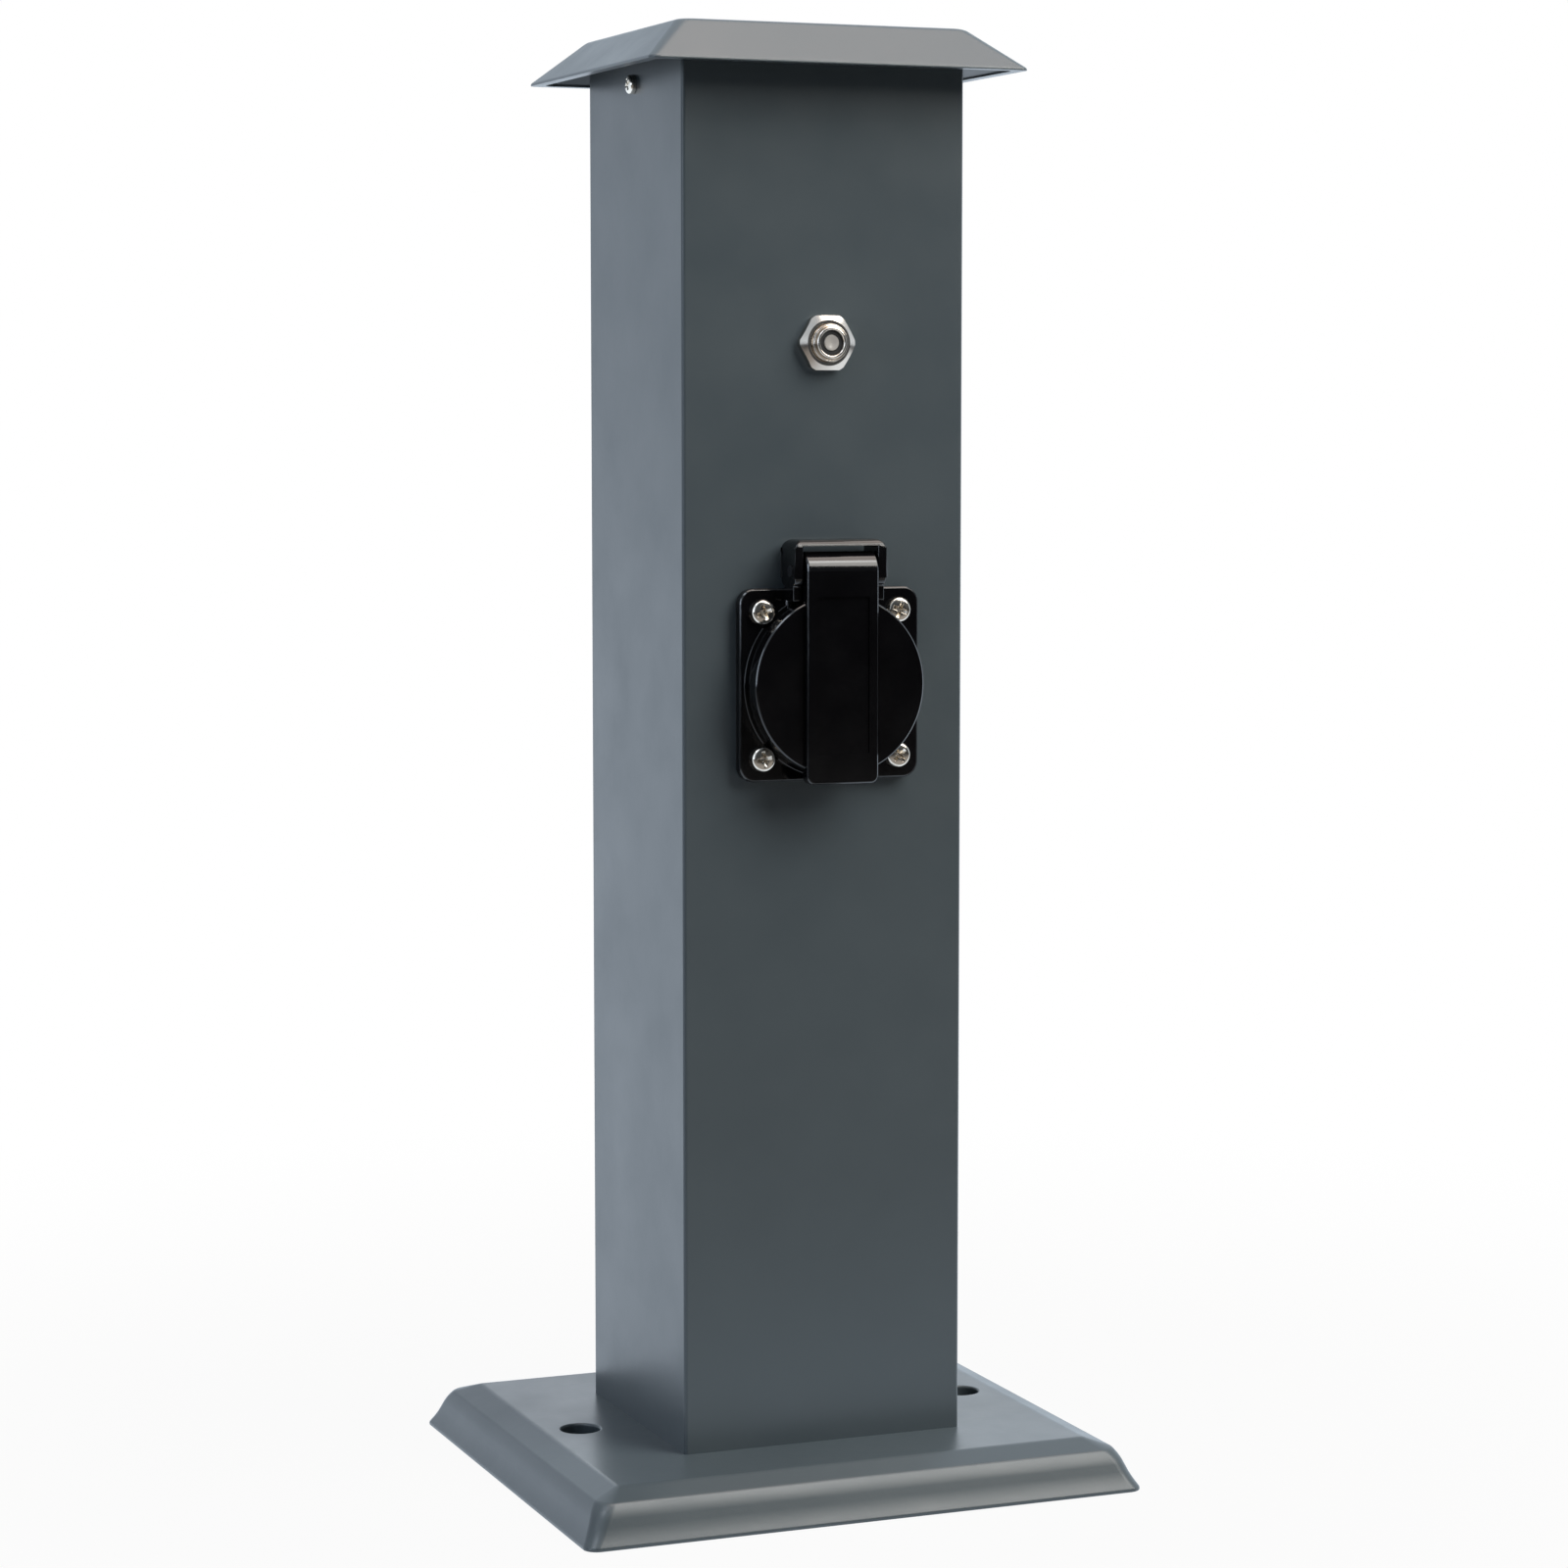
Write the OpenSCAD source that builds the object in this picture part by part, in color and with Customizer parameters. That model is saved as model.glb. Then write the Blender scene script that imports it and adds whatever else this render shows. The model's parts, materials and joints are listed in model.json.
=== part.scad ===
// Garden socket post: a hollow foot, a box section post under a hipped cap, a mains socket with
// a sprung lid, and an overload breaker with a reset button. Sizes are in millimetres.
// The origin is the centre of the foot's underside, +Z is up and the socket faces -Y.

/* [Post] */
// Width of the post, left to right
post_w = 78.5; // [74:0.5:110]
// Depth of the post, front to back
post_d = 72; // [68:0.5:110]
// Length of the post above the foot
post_len = 368.8; // [340:0.1:600]
// Wall of the post
post_wall = 2; // [1.5:0.1:3]
// Radius of the post's outer corners
post_corner_r = 1.8; // [0.5:0.1:3]
// Outer radius of the screw ports in the inner corners
port_r = 4.2; // [3.8:0.1:5]

/* [Foot] */
// Reach of the foot past the post on the left and right
foot_side = 38.75; // [36:0.25:60]
// Reach of the foot past the post at the front and back
foot_front = 34; // [28:0.5:60]
// Height of the foot's flat top
foot_h = 13; // [12:0.5:18]
// Height of the upright lip round the edge
lip_h = 2; // [1:0.1:3]
// Inset of the shoulder from the edge
shoulder_in = 5.2; // [4:0.1:7]
// Drop from the flat top to the shoulder
shoulder_drop = 2.4; // [1.5:0.1:4]
// Inset of the crease where the flat top starts
crease_in = 12.3; // [10:0.1:16]
// Hollow of the skirt below the shoulder
skirt_hollow = 0.7; // [0.2:0.1:1.2]
// Length over which the shoulder is rounded, each way
shoulder_soft = 2.4; // [1:0.1:3]
// Radius of the foot's corners, seen from above
foot_corner_r = 6; // [3:0.5:10]
// Thickness of the foot's top plate
plate_t = 3; // [2:0.1:4]
// Thickness of the foot's skirt, measured level
skirt_t = 3; // [2:0.1:4]
// Radius of the two floor holes
floor_hole_r = 5.2; // [3:0.1:6]
// Rounding of the floor holes' upper edge
floor_hole_edge = 1.1; // [0.5:0.1:1.5]
// Distance of the floor holes from the post's side
floor_hole_gap = 16.6; // [15:0.1:20]
// Wall of the bosses around the floor holes
floor_boss_wall = 3.4; // [2.5:0.1:3.8]
// Radius of the supply cable's hole in the top plate
cable_hole_r = 11; // [9:0.5:12]
// Radius of the cable that the grommet takes
cable_r = 6; // [4:0.5:7]
// Length of the screws that hold the post on the foot
base_screw_len = 24; // [16:1:40]
// Radius of those screws
base_screw_r = 2.4; // [2:0.1:2.6]

/* [Cap] */
// Reach of the eave past the post
eave = 12.9; // [9:0.1:20]
// Height of the cap from the eave's edge to the crown
cap_h = 11.3; // [9.5:0.1:16]
// Height of the eave's upright edge
eave_lip = 1.4; // [0.8:0.1:2]
// Reach of the flat crown past the post
crown_over = 0.7; // [0.3:0.1:2]
// Wall of the cap
cap_wall = 2; // [1.6:0.1:2.4]
// Radius of the cap's corners, seen from above
cap_corner_r = 4.5; // [2.5:0.1:6]
// Distance of the cap screws below the eave's edge
cap_screw_drop = 2.7; // [2.6:0.1:8]
// Radius of the cap screws
cap_screw_r = 1.5; // [1.2:0.1:2]
// Width of the tongues that reach into the post
tongue_w = 26; // [16:1:34]
// Thickness of the tongues
tongue_t = 2.4; // [2:0.1:3.5]
// Reach of the tongues below the cap screws
tongue_below = 6.5; // [4:0.5:12]

/* [Socket] */
// Height of the socket's centre above the foot
socket_up = 201.6; // [150:0.1:230]
// Side of the square flange
flange_w = 50; // [48:0.5:54]
// Thickness of the flange
flange_t = 2.9; // [2:0.1:4]
// Radius of the flange's corners
flange_r = 4; // [2:0.1:5]
// Thickness of the gasket under the flange
gasket_t = 0.8; // [0.5:0.1:2]
// Distance between the flange's screws
screw_pitch = 38; // [38:0.1:40]
// Radius of the flange's screws
flange_screw_r = 2; // [1.5:0.1:2.2]
// Radius of the well that takes a plug
well_r = 19.75; // [19:0.05:20]
// Depth of the well
well_depth = 17.5; // [15:0.1:20]
// Wall of the collar round the well
collar_wall = 2.55; // [2:0.05:2.8]
// Height of the collar above the flange
collar_h = 4.4; // [3.6:0.1:6]
// Wall of the cup behind the flange
cup_wall = 1.4; // [1:0.1:2]
// Distance between the plug's pins
pin_pitch = 19; // [18:0.5:20]
// Radius of the plug's pins
plug_pin_r = 2.4; // [2:0.1:2.5]
// Length of the contact carrier behind the cup
carrier_len = 16.6; // [14:0.1:20]

/* [Lid and hinge] */
// Room between the collar and the lid's rim
lid_room = 0.5; // [0.4:0.05:0.7]
// Wall of the lid's rim
lid_rim_t = 0.7; // [0.6:0.05:1]
// Thickness of the lid over the well
lid_plate_t = 2; // [1.5:0.1:3]
// Room between the collar and the lid for the seal
seal_room = 1; // [0.8:0.1:1.6]
// Reach of the rim back over the collar
lid_overlap = 1.8; // [1:0.1:1.9]
// Bevel round the lid's face
lid_bevel = 0.5; // [0.2:0.1:1]
// Width of the strap
strap_w = 19.8; // [16:0.1:20]
// Height of the strap's face above the lid's face
strap_rise = 1.9; // [1.2:0.1:3]
// Thickness of the strap where it stands clear of the lid
strap_t = 3.6; // [3:0.1:4.2]
// Reach of the strap below the lid's edge
strap_over = 1.9; // [1:0.1:6]
// Radius of the strap's lower corners
strap_corner_r = 2; // [1:0.1:4]
// Width of the sunk panel in the strap
panel_w = 14.6; // [8:0.1:15]
// Length of the sunk panel
panel_len = 40.5; // [20:0.5:44]
// Depth of the sunk panel
panel_deep = 0.4; // [0.2:0.05:0.6]
// Height of the sunk panel's centre above the socket's centre
panel_up = 2.7; // [-2:0.1:4]
// Height of the hinge above the lid's edge
hinge_over = 6.1; // [6:0.1:9]
// Radius of the hinge barrel at the strap's top
barrel_r = 5; // [4.8:0.1:5.4]
// Radius of the hinge pin
pin_r = 1.5; // [1.2:0.05:1.8]
// Thickness of the hinge ears
ear_t = 2.3; // [1.6:0.1:3]
// Gap between the strap and each ear
ear_gap = 0.5; // [0.3:0.1:1]
// Depth of the hinge ears, front to back
ear_depth = 10.1; // [9:0.1:11]
// Gap between the ears and the post
ear_post_gap = 1.2; // [0.8:0.1:2]
// Thickness of the hood over the hinge
hood_t = 1.6; // [1:0.1:2.5]
// Gap between the barrel and the hood
hood_gap = 1.5; // [1.2:0.1:2.5]
// Radius of the hood's corners
hood_r = 2.6; // [1.5:0.1:3.5]
// Radius of the spring's wire
spring_wire_r = 0.35; // [0.25:0.05:0.4]
// Gap between the turns of the spring
spring_gap = 0.46; // [0.42:0.01:0.6]
// Turns of the spring
spring_turns = 4.5; // [3.5:1:4.5]

/* [Overload breaker] */
// Height of the breaker above the socket's centre
breaker_up = 88.1; // [70:0.1:110]
// Size of the hexagon nut across its flats
nut_af = 14; // [13:0.5:17]
// Thickness of the hexagon nut
nut_t = 3; // [2:0.1:4]
// Width of the nut's round face inside the chamfer
nut_face = 12.4; // [12:0.1:12.8]
// Radius of the threaded neck
neck_r = 4.85; // [4.5:0.05:5.5]
// Radius of the neck's bore
neck_bore_r = 3.05; // [2.9:0.05:3.4]
// Stand of the neck's lip above the nut
neck_proud = 2.4; // [0:0.1:4]
// Radius of the reset button
button_r = 2.05; // [1.6:0.05:2.2]
// Stand of the pressed button above the neck's lip, below zero where it is sunk
button_proud = -0.5; // [-0.7:0.1:2]
// Travel of the button from set to tripped
button_travel = 4; // [2:0.5:4.5]
// Width of the breaker's case
breaker_w = 15; // [13:0.5:20]
// Height of the breaker's case
breaker_h = 32; // [28:1:40]
// Depth of the breaker's case
breaker_d = 26; // [23:0.5:30]

/* [Wiring] */
// Radius of the insulated wires
wire_r = 1.4; // [1:0.1:1.6]
// Width of the terminal block
block_w = 32; // [30:0.5:40]
// Height of the terminal block
block_h = 22; // [18:1:30]
// Depth of the terminal block
block_d = 15; // [13:0.5:18]
// Distance between the terminal block's poles
pole_pitch = 10; // [9:0.5:11]
// Height of the terminal block above the foot
block_up = 27; // [24:1:40]
// Thickness of the terminal bracket's sheet
bracket_t = 1.5; // [1:0.1:2]

/* [Hidden] */
$fn = 48;

// Shared clearances
slip = 0.05;    // round pieces that sit in a bore
loose = 0.2;    // screws through clearance holes, flat pieces in slots
run = 0.06;     // the hinge pin in the lid
sink = 0.5;     // overlap of two shapes that are one piece
cut = 1;        // overrun of a cutting shape

// Colours
coat = "#4d565c";
black = "#17181a";
dark = "#28292c";
nickel = "#cfccc4";
brass = "#b8974e";
rubber = "#1e1f20";
steel = "#a9adb0";
pale = "#d9d6cb";
brown = "#6b4226";
blue = "#2f5fa8";
green = "#7fae3a";

// Screws: shares of a head's radius for its cross recess, and the tips past what they hold
cross_len = 1.15;
cross_w = 0.26;
screw_tip = 1;
small_screw_r = 1.5;
small_head_h = 1.6;

// Post
port_bite = 0.6;
inner_w = post_w - 2 * post_wall;
inner_d = post_d - 2 * post_wall;
port_x = inner_w / 2 - port_r + port_bite;
port_y = inner_d / 2 - port_r + port_bite;
post_top = foot_h + post_len;

// Foot
bend_steps = 5;
foot_w = post_w + 2 * foot_side;
foot_d = post_d + 2 * foot_front;
shoulder_z = foot_h - shoulder_drop;
plate_z = foot_h - plate_t;
floor_hole_x = post_w / 2 + floor_hole_gap;
cable_y = -8;
grommet_lip = 1.6;
grommet_over = 1.5;
base_head_r = 2 * base_screw_r;
base_head_h = 3;

// Cap
post_room = 0.6;
crown_r = 3;
crown_sheet = 0.1;
cap_head_r = 2.5;
cap_head_h = 1.9;
cap_w = post_w + 2 * eave;
cap_d = post_d + 2 * eave;
hip_run = eave - crown_over;
hip_slope = hip_run / (cap_h - eave_lip);
cap_wall_level = cap_wall * sqrt(1 + hip_slope * hip_slope);
crown_t = (cap_wall_level + post_room - crown_over) / hip_slope;
crown_z = post_top + crown_t;
eave_z = crown_z - cap_h;
cap_screw_z = eave_z - cap_screw_drop;
tongue_z = cap_screw_z - tongue_below;

// Socket, measured out from the post's front face
ring_over = 0.8;
ring_h = 1.2;
head_room = 0.9;
cup_room = 0.5;
gasket_room = 0.3;
flange_head_r = 3.25;
flange_head_h = 2.2;
flange_nut_af = 3.5 * flange_screw_r;
flange_nut_h = 3.2;
flange_screw_past = 5;
socket_z = foot_h + socket_up;
flange_front = gasket_t + flange_t;
collar_r = well_r + collar_wall;
collar_front = flange_front + collar_h;
well_floor = collar_front - well_depth;
cup_r = well_r + cup_wall;

// Contacts, behind the well's floor
spigot = 3;
carrier_plate = 3;
carrier_in = 2.6;
pin_room = 0.3;
sleeve_wall = 0.85;
earth_t = 0.8;
earth_w = 6;
earth_gap = 0.1;
earth_sunk = 6;
earth_bead_r = 1.2;
earth_bead_w = 4.5;
earth_bead_in = 1.3;
contact_head = 7;
contact_head_w = 7;
contact_head_h = 9;
earth_head_h = 8;
head_floor = 2;
contact_screw_head_r = 2.4;
cup_back = well_floor - spigot;
carrier_r = well_r - carrier_in;
carrier_back = cup_back - carrier_len;
sleeve_r = plug_pin_r + sleeve_wall;
earth_at = carrier_r + earth_gap;
earth_front = collar_front - earth_sunk;

// Lid and hinge, measured out from the post's front face
ear_clear = 0.6;
ear_edge_r = 1.2;
stem_in = 1.3;
stem_h = 8;
stem_toe = 5;
rim_clear = 0.7;
pin_past = 0.3;
lid_r = collar_r + lid_room + lid_rim_t;
ring_r = lid_r + ring_over;
ring_front = flange_front + ring_h;
lid_inside = collar_front + seal_room;
lid_front = lid_inside + lid_plate_t;
lid_back = collar_front - lid_overlap;
seal_t = seal_room - loose;
seal_in_r = well_r + gasket_room;
strap_front = lid_front + strap_rise;
strap_back = strap_front - strap_t;
strap_drop = lid_r + strap_over;
hinge_up = lid_r + hinge_over;
hinge_out = strap_front - barrel_r;
bracket_w = strap_w + 2 * (ear_gap + ear_t);
hood_under = hinge_up + barrel_r + hood_gap;
hood_top = hood_under + hood_t;
ear_foot = flange_w / 2 + ear_clear;
ear_back = ear_post_gap;
ear_front = ear_back + ear_depth;
stem_front = ear_front - stem_in;
rim_edge = sqrt(pow(lid_r, 2) - pow(strap_w / 2 + ear_gap, 2));
stem_foot = rim_edge + rim_clear;

// Spring: a leg on the flange, the turns round the pin, a leg under the barrel
rings_per_turn = 8;
spring_sides = 6;
spring_room = 0.5;
spring_end_room = 0.6;
spring_in = 1;
leg_gap = 0.1;
leg_down = 1;
leg_reach = 2.6;
spring_r = pin_r + spring_in;
spring_pitch = 2 * spring_wire_r + spring_gap;
spring_len = spring_turns * spring_pitch;
spring_steps = spring_turns * rings_per_turn;
spring_slot_r = spring_r + spring_wire_r + spring_room;
spring_slot_w = spring_len + 2 * (spring_wire_r + spring_end_room);
leg_seat = max(flange_w / 2, ring_r);
leg_low = [-spring_len / 2, leg_seat + spring_wire_r + leg_gap, flange_front - leg_down];
leg_high = [spring_len / 2, hinge_up + spring_r, hinge_out - leg_reach];
spring_path = concat([leg_low], [for (i = [0:spring_steps]) coil_point(i)], [leg_high]);
spring_self_gap = min([for (i = [1:spring_steps], j = [1:spring_steps])
    if (j - i >= rings_per_turn / 2) norm(spring_path[i] - spring_path[j])]) - 2 * spring_wire_r;

// Overload breaker, measured out from the post's front face
neck_in = 6;
guide_sunk = 0.8;
button_room = 0.1;
button_rim = 0.4;
chamber_wall = 2;
chamber_spare = 1.5;
stop_over = 0.9;
stop_room = 0.3;
stop_t = 2;
tab_edge = 7;
tab_w = 6.3;
tab_t = 0.8;
tab_in = 5;
tab_out = 8;
breaker_z = socket_z + breaker_up;
neck_lip = nut_t + neck_proud;
case_front = -post_wall;
case_back = case_front - breaker_d;
neck_back = case_front - neck_in;
guide_front = neck_lip - guide_sunk;
button_front = neck_lip + button_proud;
stop_r = button_r + stop_over;
chamber_front = neck_back - chamber_wall;
stop_front = chamber_front - button_travel - loose;
stop_back = stop_front - stop_t;
chamber_back = stop_back - chamber_spare;
tab_at = breaker_h / 2 - tab_edge;
tab_back = case_back - tab_out;

// Terminal block and its bracket
block_stand = 9.5;
clamp_from_back = 9;
clamp_r = 3;
clamp_inset = 1;
clamp_screw_r = 1.4;
clamp_screw_len = 5;
clamp_screw_in = 1;
clamp_slot_w = 0.6;
access_r = 2;
block_head_r = 2.6;
bracket_side = 2;
bracket_toe = 7;
bracket_over = 6;
bracket_screw_x = 13;
bracket_screw_y = 15;
bracket_screw_r = 1.7;
bracket_screw_past = 2;
bracket_head_r = 3.2;
bracket_head_h = 2.2;
boss_wall = 2;
boss_h = 3;
block_back = inner_d / 2 - block_stand;
block_front = block_back - block_d;
block_z = foot_h + block_up;
block_top = block_z + block_h;
block_mid = block_z + block_h / 2;
clamp_rows = [block_mid - block_h / 4, block_mid + block_h / 4];
clamp_y = block_back - clamp_from_back;
upright_top = block_top + bracket_over;
bracket_w_all = block_w + 2 * bracket_side;

// Bond lug under the right one of the bracket's screws
lug_t = 1;
lug_eye_r = 3.8;
lug_len = 9;
lug_barrel_r = 1.6;
lug_barrel_len = 4.5;
lug_z = foot_h + bracket_t;
lug_end = bracket_screw_x - lug_len;
lug_axis_z = lug_z + lug_barrel_r;

// Wires: how far each runs straight on as it leaves and as it arrives
wire_sides = 8;
wire_steps = 24;
supply_leave = 130;
supply_arrive = 34;
link_leave = 16;
link_arrive = 30;
rise_leave = 60;
rise_arrive = 50;
bond_leave = 14;
bond_arrive = 12;
head_y = -post_d / 2 - carrier_back + contact_head / 2;
tab_y = -post_d / 2 - tab_back;

// A rectangle with round corners, about its centre
module rounded(w, d, r) {
    square([w - 2 * r, d], center = true);
    square([w, d - 2 * r], center = true);
    for (x = [-1, 1], y = [-1, 1]) {
        translate([x * (w / 2 - r), y * (d / 2 - r)]) circle(r);
    }
}

// Turns a shape drawn on the front face, x right, y up, z outwards, into its place at height z
module on_front(z) {
    translate([0, -post_d / 2, z]) rotate([90, 0, 0]) children();
}

// Extrudes a side view, first axis outwards and second up, across x on the front face
module across(w, x = 0) {
    translate([x + w / 2, 0, 0]) rotate([0, -90, 0]) linear_extrude(w) children();
}

// A cylinder between two distances out from the front face
module peg(r, from, to) {
    translate([0, 0, from]) cylinder(r = r, h = to - from);
}

// A ring between two distances out from the front face
module ring(r_out, r_in, from, to) {
    translate([0, 0, from]) linear_extrude(to - from) difference() {
        circle(r_out);
        circle(r_in);
    }
}

// Places a shape at the four corners of a rectangle
module corners(w, d) {
    for (x = [-1, 1], y = [-1, 1]) {
        translate([x * w / 2, y * d / 2, 0]) children();
    }
}

// A low domed head on z = 0 with a cross recess
module dome_head(r, h) {
    ball_r = (r * r + h * h) / (2 * h);
    difference() {
        intersection() {
            translate([0, 0, h - ball_r]) sphere(ball_r, $fn = 64);
            cylinder(r = r, h = h);
        }
        for (a = [45, 135]) {
            rotate([0, 0, a]) translate([0, 0, h]) cube([r * cross_len, r * cross_w, h], center = true);
        }
    }
}

// A curved row of points from a to b, bent towards c
function bend(a, c, b) = [for (i = [0:bend_steps]) let (t = i / bend_steps)
    pow(1 - t, 2) * a + 2 * t * (1 - t) * c + t * t * b];

function unit(v) = v / norm(v);

function flipped(points) = [for (i = [len(points) - 1:-1:0]) [-points[i].x, points[i].y]];

// The foot's edge in section, from the floor up to the flat top
function foot_edge(half) =
    let (lip = [half, lip_h],
         shoulder = [half - shoulder_in, shoulder_z],
         crease = [half - crease_in, foot_h],
         low = shoulder + shoulder_soft * unit(lip - shoulder),
         high = shoulder + shoulder_soft * unit(crease - shoulder),
         hollow = (lip + low) / 2 - [skirt_hollow, 0])
    concat([[half, 0]], bend(lip, hollow, low), bend(low, shoulder, high), [crease]);

// The edge of the hollow under the foot, which leans in with the skirt
function hollow_edge(half) = [[half - skirt_t, -cut], [half - skirt_t, lip_h],
    [half - shoulder_in - skirt_t, plate_z]];

module both_sides(edge) {
    polygon(concat(edge, flipped(edge)));
}

module foot_outside() {
    intersection() {
        rotate([90, 0, 0]) linear_extrude(foot_d + 2 * cut, center = true)
            both_sides(foot_edge(foot_w / 2));
        rotate([90, 0, 90]) linear_extrude(foot_w + 2 * cut, center = true)
            both_sides(foot_edge(foot_d / 2));
        linear_extrude(foot_h) rounded(foot_w, foot_d, foot_corner_r);
    }
}

module foot_hollow() {
    intersection() {
        rotate([90, 0, 0]) linear_extrude(foot_d, center = true) both_sides(hollow_edge(foot_w / 2));
        rotate([90, 0, 90]) linear_extrude(foot_w, center = true) both_sides(hollow_edge(foot_d / 2));
    }
}

module base_plate() {
    color(coat) difference() {
        union() {
            difference() {
                foot_outside();
                foot_hollow();
            }
            for (side = [-1, 1]) {
                translate([side * floor_hole_x, 0, 0])
                    cylinder(r = floor_hole_r + floor_boss_wall, h = plate_z + sink);
                translate([side * bracket_screw_x, bracket_screw_y, plate_z - boss_h])
                    cylinder(r = bracket_screw_r + boss_wall, h = boss_h + sink);
            }
        }
        for (side = [-1, 1]) {
            translate([side * floor_hole_x, 0, -cut]) cylinder(r = floor_hole_r, h = foot_h + 2 * cut);
            translate([side * floor_hole_x, 0, foot_h - floor_hole_edge])
                cylinder(r1 = floor_hole_r, r2 = floor_hole_r + 2 * floor_hole_edge, h = 2 * floor_hole_edge);
            translate([side * bracket_screw_x, bracket_screw_y, plate_z - boss_h - cut])
                cylinder(r = bracket_screw_r + slip, h = plate_t + boss_h + 2 * cut);
        }
        translate([0, cable_y, plate_z - cut]) cylinder(r = cable_hole_r, h = plate_t + 2 * cut);
        translate([0, 0, plate_z - cut]) corners(2 * port_x, 2 * port_y)
            cylinder(r = base_screw_r + loose, h = plate_t + 2 * cut);
    }
}

module base_screws() {
    color(steel) translate([0, 0, plate_z]) corners(2 * port_x, 2 * port_y) {
        cylinder(r = base_screw_r, h = base_screw_len);
        mirror([0, 0, 1]) dome_head(base_head_r, base_head_h);
    }
}

module cable_grommet() {
    lip_r = cable_hole_r + grommet_over;
    neck = cable_hole_r - slip;
    color(rubber) translate([0, cable_y, 0]) rotate_extrude() polygon([
        [cable_r, plate_z - grommet_lip], [lip_r, plate_z - grommet_lip], [lip_r, plate_z],
        [neck, plate_z], [neck, foot_h],
        [lip_r, foot_h], [lip_r, foot_h + grommet_lip], [cable_r, foot_h + grommet_lip]]);
}

module post_section() {
    difference() {
        rounded(post_w, post_d, post_corner_r);
        difference() {
            square([inner_w, inner_d], center = true);
            corners(2 * port_x, 2 * port_y) circle(port_r);
        }
        corners(2 * port_x, 2 * port_y) circle(base_screw_r + slip);
    }
}

module post_tube() {
    color(coat) difference() {
        translate([0, 0, foot_h]) linear_extrude(post_len) post_section();
        on_front(socket_z) {
            peg(cup_r + cup_room, -post_wall - cut, cut);
            corners(screw_pitch, screw_pitch) peg(flange_screw_r + loose, -post_wall - cut, cut);
        }
        on_front(breaker_z) peg(neck_r + loose, -post_wall - cut, cut);
        for (side = [0, 180]) {
            rotate([0, 0, side]) translate([inner_w / 2 - cut, 0, cap_screw_z]) rotate([0, 90, 0])
                cylinder(r = cap_screw_r + loose, h = post_wall + 2 * cut);
        }
    }
}

// A hipped block: an upright edge, then slopes that run in to a flat crown
module hipped(w, d, r, edge, h, inset, top_r, below = 0) {
    hull() {
        translate([0, 0, -below]) linear_extrude(edge + below) rounded(w, d, r, $fn = 32);
        translate([0, 0, h - crown_sheet]) linear_extrude(crown_sheet)
            rounded(w - 2 * inset, d - 2 * inset, top_r, $fn = 32);
    }
}

module roof_cap() {
    inside_h = cap_h - crown_t;
    inside_run = (inside_h - eave_lip) * hip_slope;
    tongue_x = inner_w / 2 - loose - tongue_t / 2;
    tongue_y = inner_d / 2 - loose - tongue_t / 2;
    tongue_h = post_top + sink - tongue_z;
    tongue_mid = tongue_z + tongue_h / 2;
    color(coat) difference() {
        union() {
            difference() {
                translate([0, 0, eave_z])
                    hipped(cap_w, cap_d, cap_corner_r, eave_lip, cap_h, hip_run, crown_r);
                translate([0, 0, eave_z])
                    hipped(cap_w - 2 * cap_wall_level, cap_d - 2 * cap_wall_level, cap_corner_r - cap_wall,
                        eave_lip, inside_h, inside_run, crown_r - cap_wall, cut);
            }
            for (side = [-1, 1]) {
                translate([side * tongue_x, 0, tongue_mid])
                    cube([tongue_t, tongue_w, tongue_h], center = true);
                translate([0, side * tongue_y, tongue_mid])
                    cube([tongue_w, tongue_t, tongue_h], center = true);
            }
        }
        for (side = [0, 180]) {
            rotate([0, 0, side]) translate([tongue_x - tongue_t / 2 - cut, 0, cap_screw_z])
                rotate([0, 90, 0]) cylinder(r = cap_screw_r + slip, h = tongue_t + 2 * cut);
        }
    }
}

module cap_screws() {
    shank = post_wall + loose + tongue_t + screw_tip;
    color(nickel) for (side = [0, 180]) {
        rotate([0, 0, side]) translate([post_w / 2, 0, cap_screw_z]) rotate([0, 90, 0]) {
            translate([0, 0, -shank]) cylinder(r = cap_screw_r, h = shank);
            dome_head(cap_head_r, cap_head_h);
        }
    }
}

module socket_gasket() {
    side = flange_w - 2 * loose;
    color(rubber) on_front(socket_z) linear_extrude(gasket_t) difference() {
        rounded(side, side, flange_r);
        circle(cup_r + gasket_room);
        corners(screw_pitch, screw_pitch) circle(flange_screw_r + loose);
    }
}

// The hinge bracket: two ears under a hood, on stems that stand on the flange
module hinge_bracket() {
    low = stem_foot - stem_h;
    intersection() {
        translate([0, 0, ear_back]) linear_extrude(ear_depth) difference() {
            translate([0, (hood_top + low) / 2]) rounded(bracket_w, hood_top - low, hood_r);
            translate([-bracket_w / 2 + ear_t, -hood_under])
                square([bracket_w - 2 * ear_t, 2 * hood_under]);
        }
        across(bracket_w + 2 * cut) {
            translate([(ear_back + ear_front) / 2, (ear_foot + hood_top) / 2])
                rounded(ear_depth, hood_top - ear_foot, ear_edge_r);
            translate([flange_front - sink, stem_foot])
                square([stem_front - flange_front + sink, stem_h]);
        }
    }
    for (side = [-1, 1]) {
        across(ear_t, side * (bracket_w - ear_t) / 2)
            translate([flange_front - sink, stem_foot - stem_toe])
            square([ring_front - flange_front + sink, stem_toe + sink]);
    }
}

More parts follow.
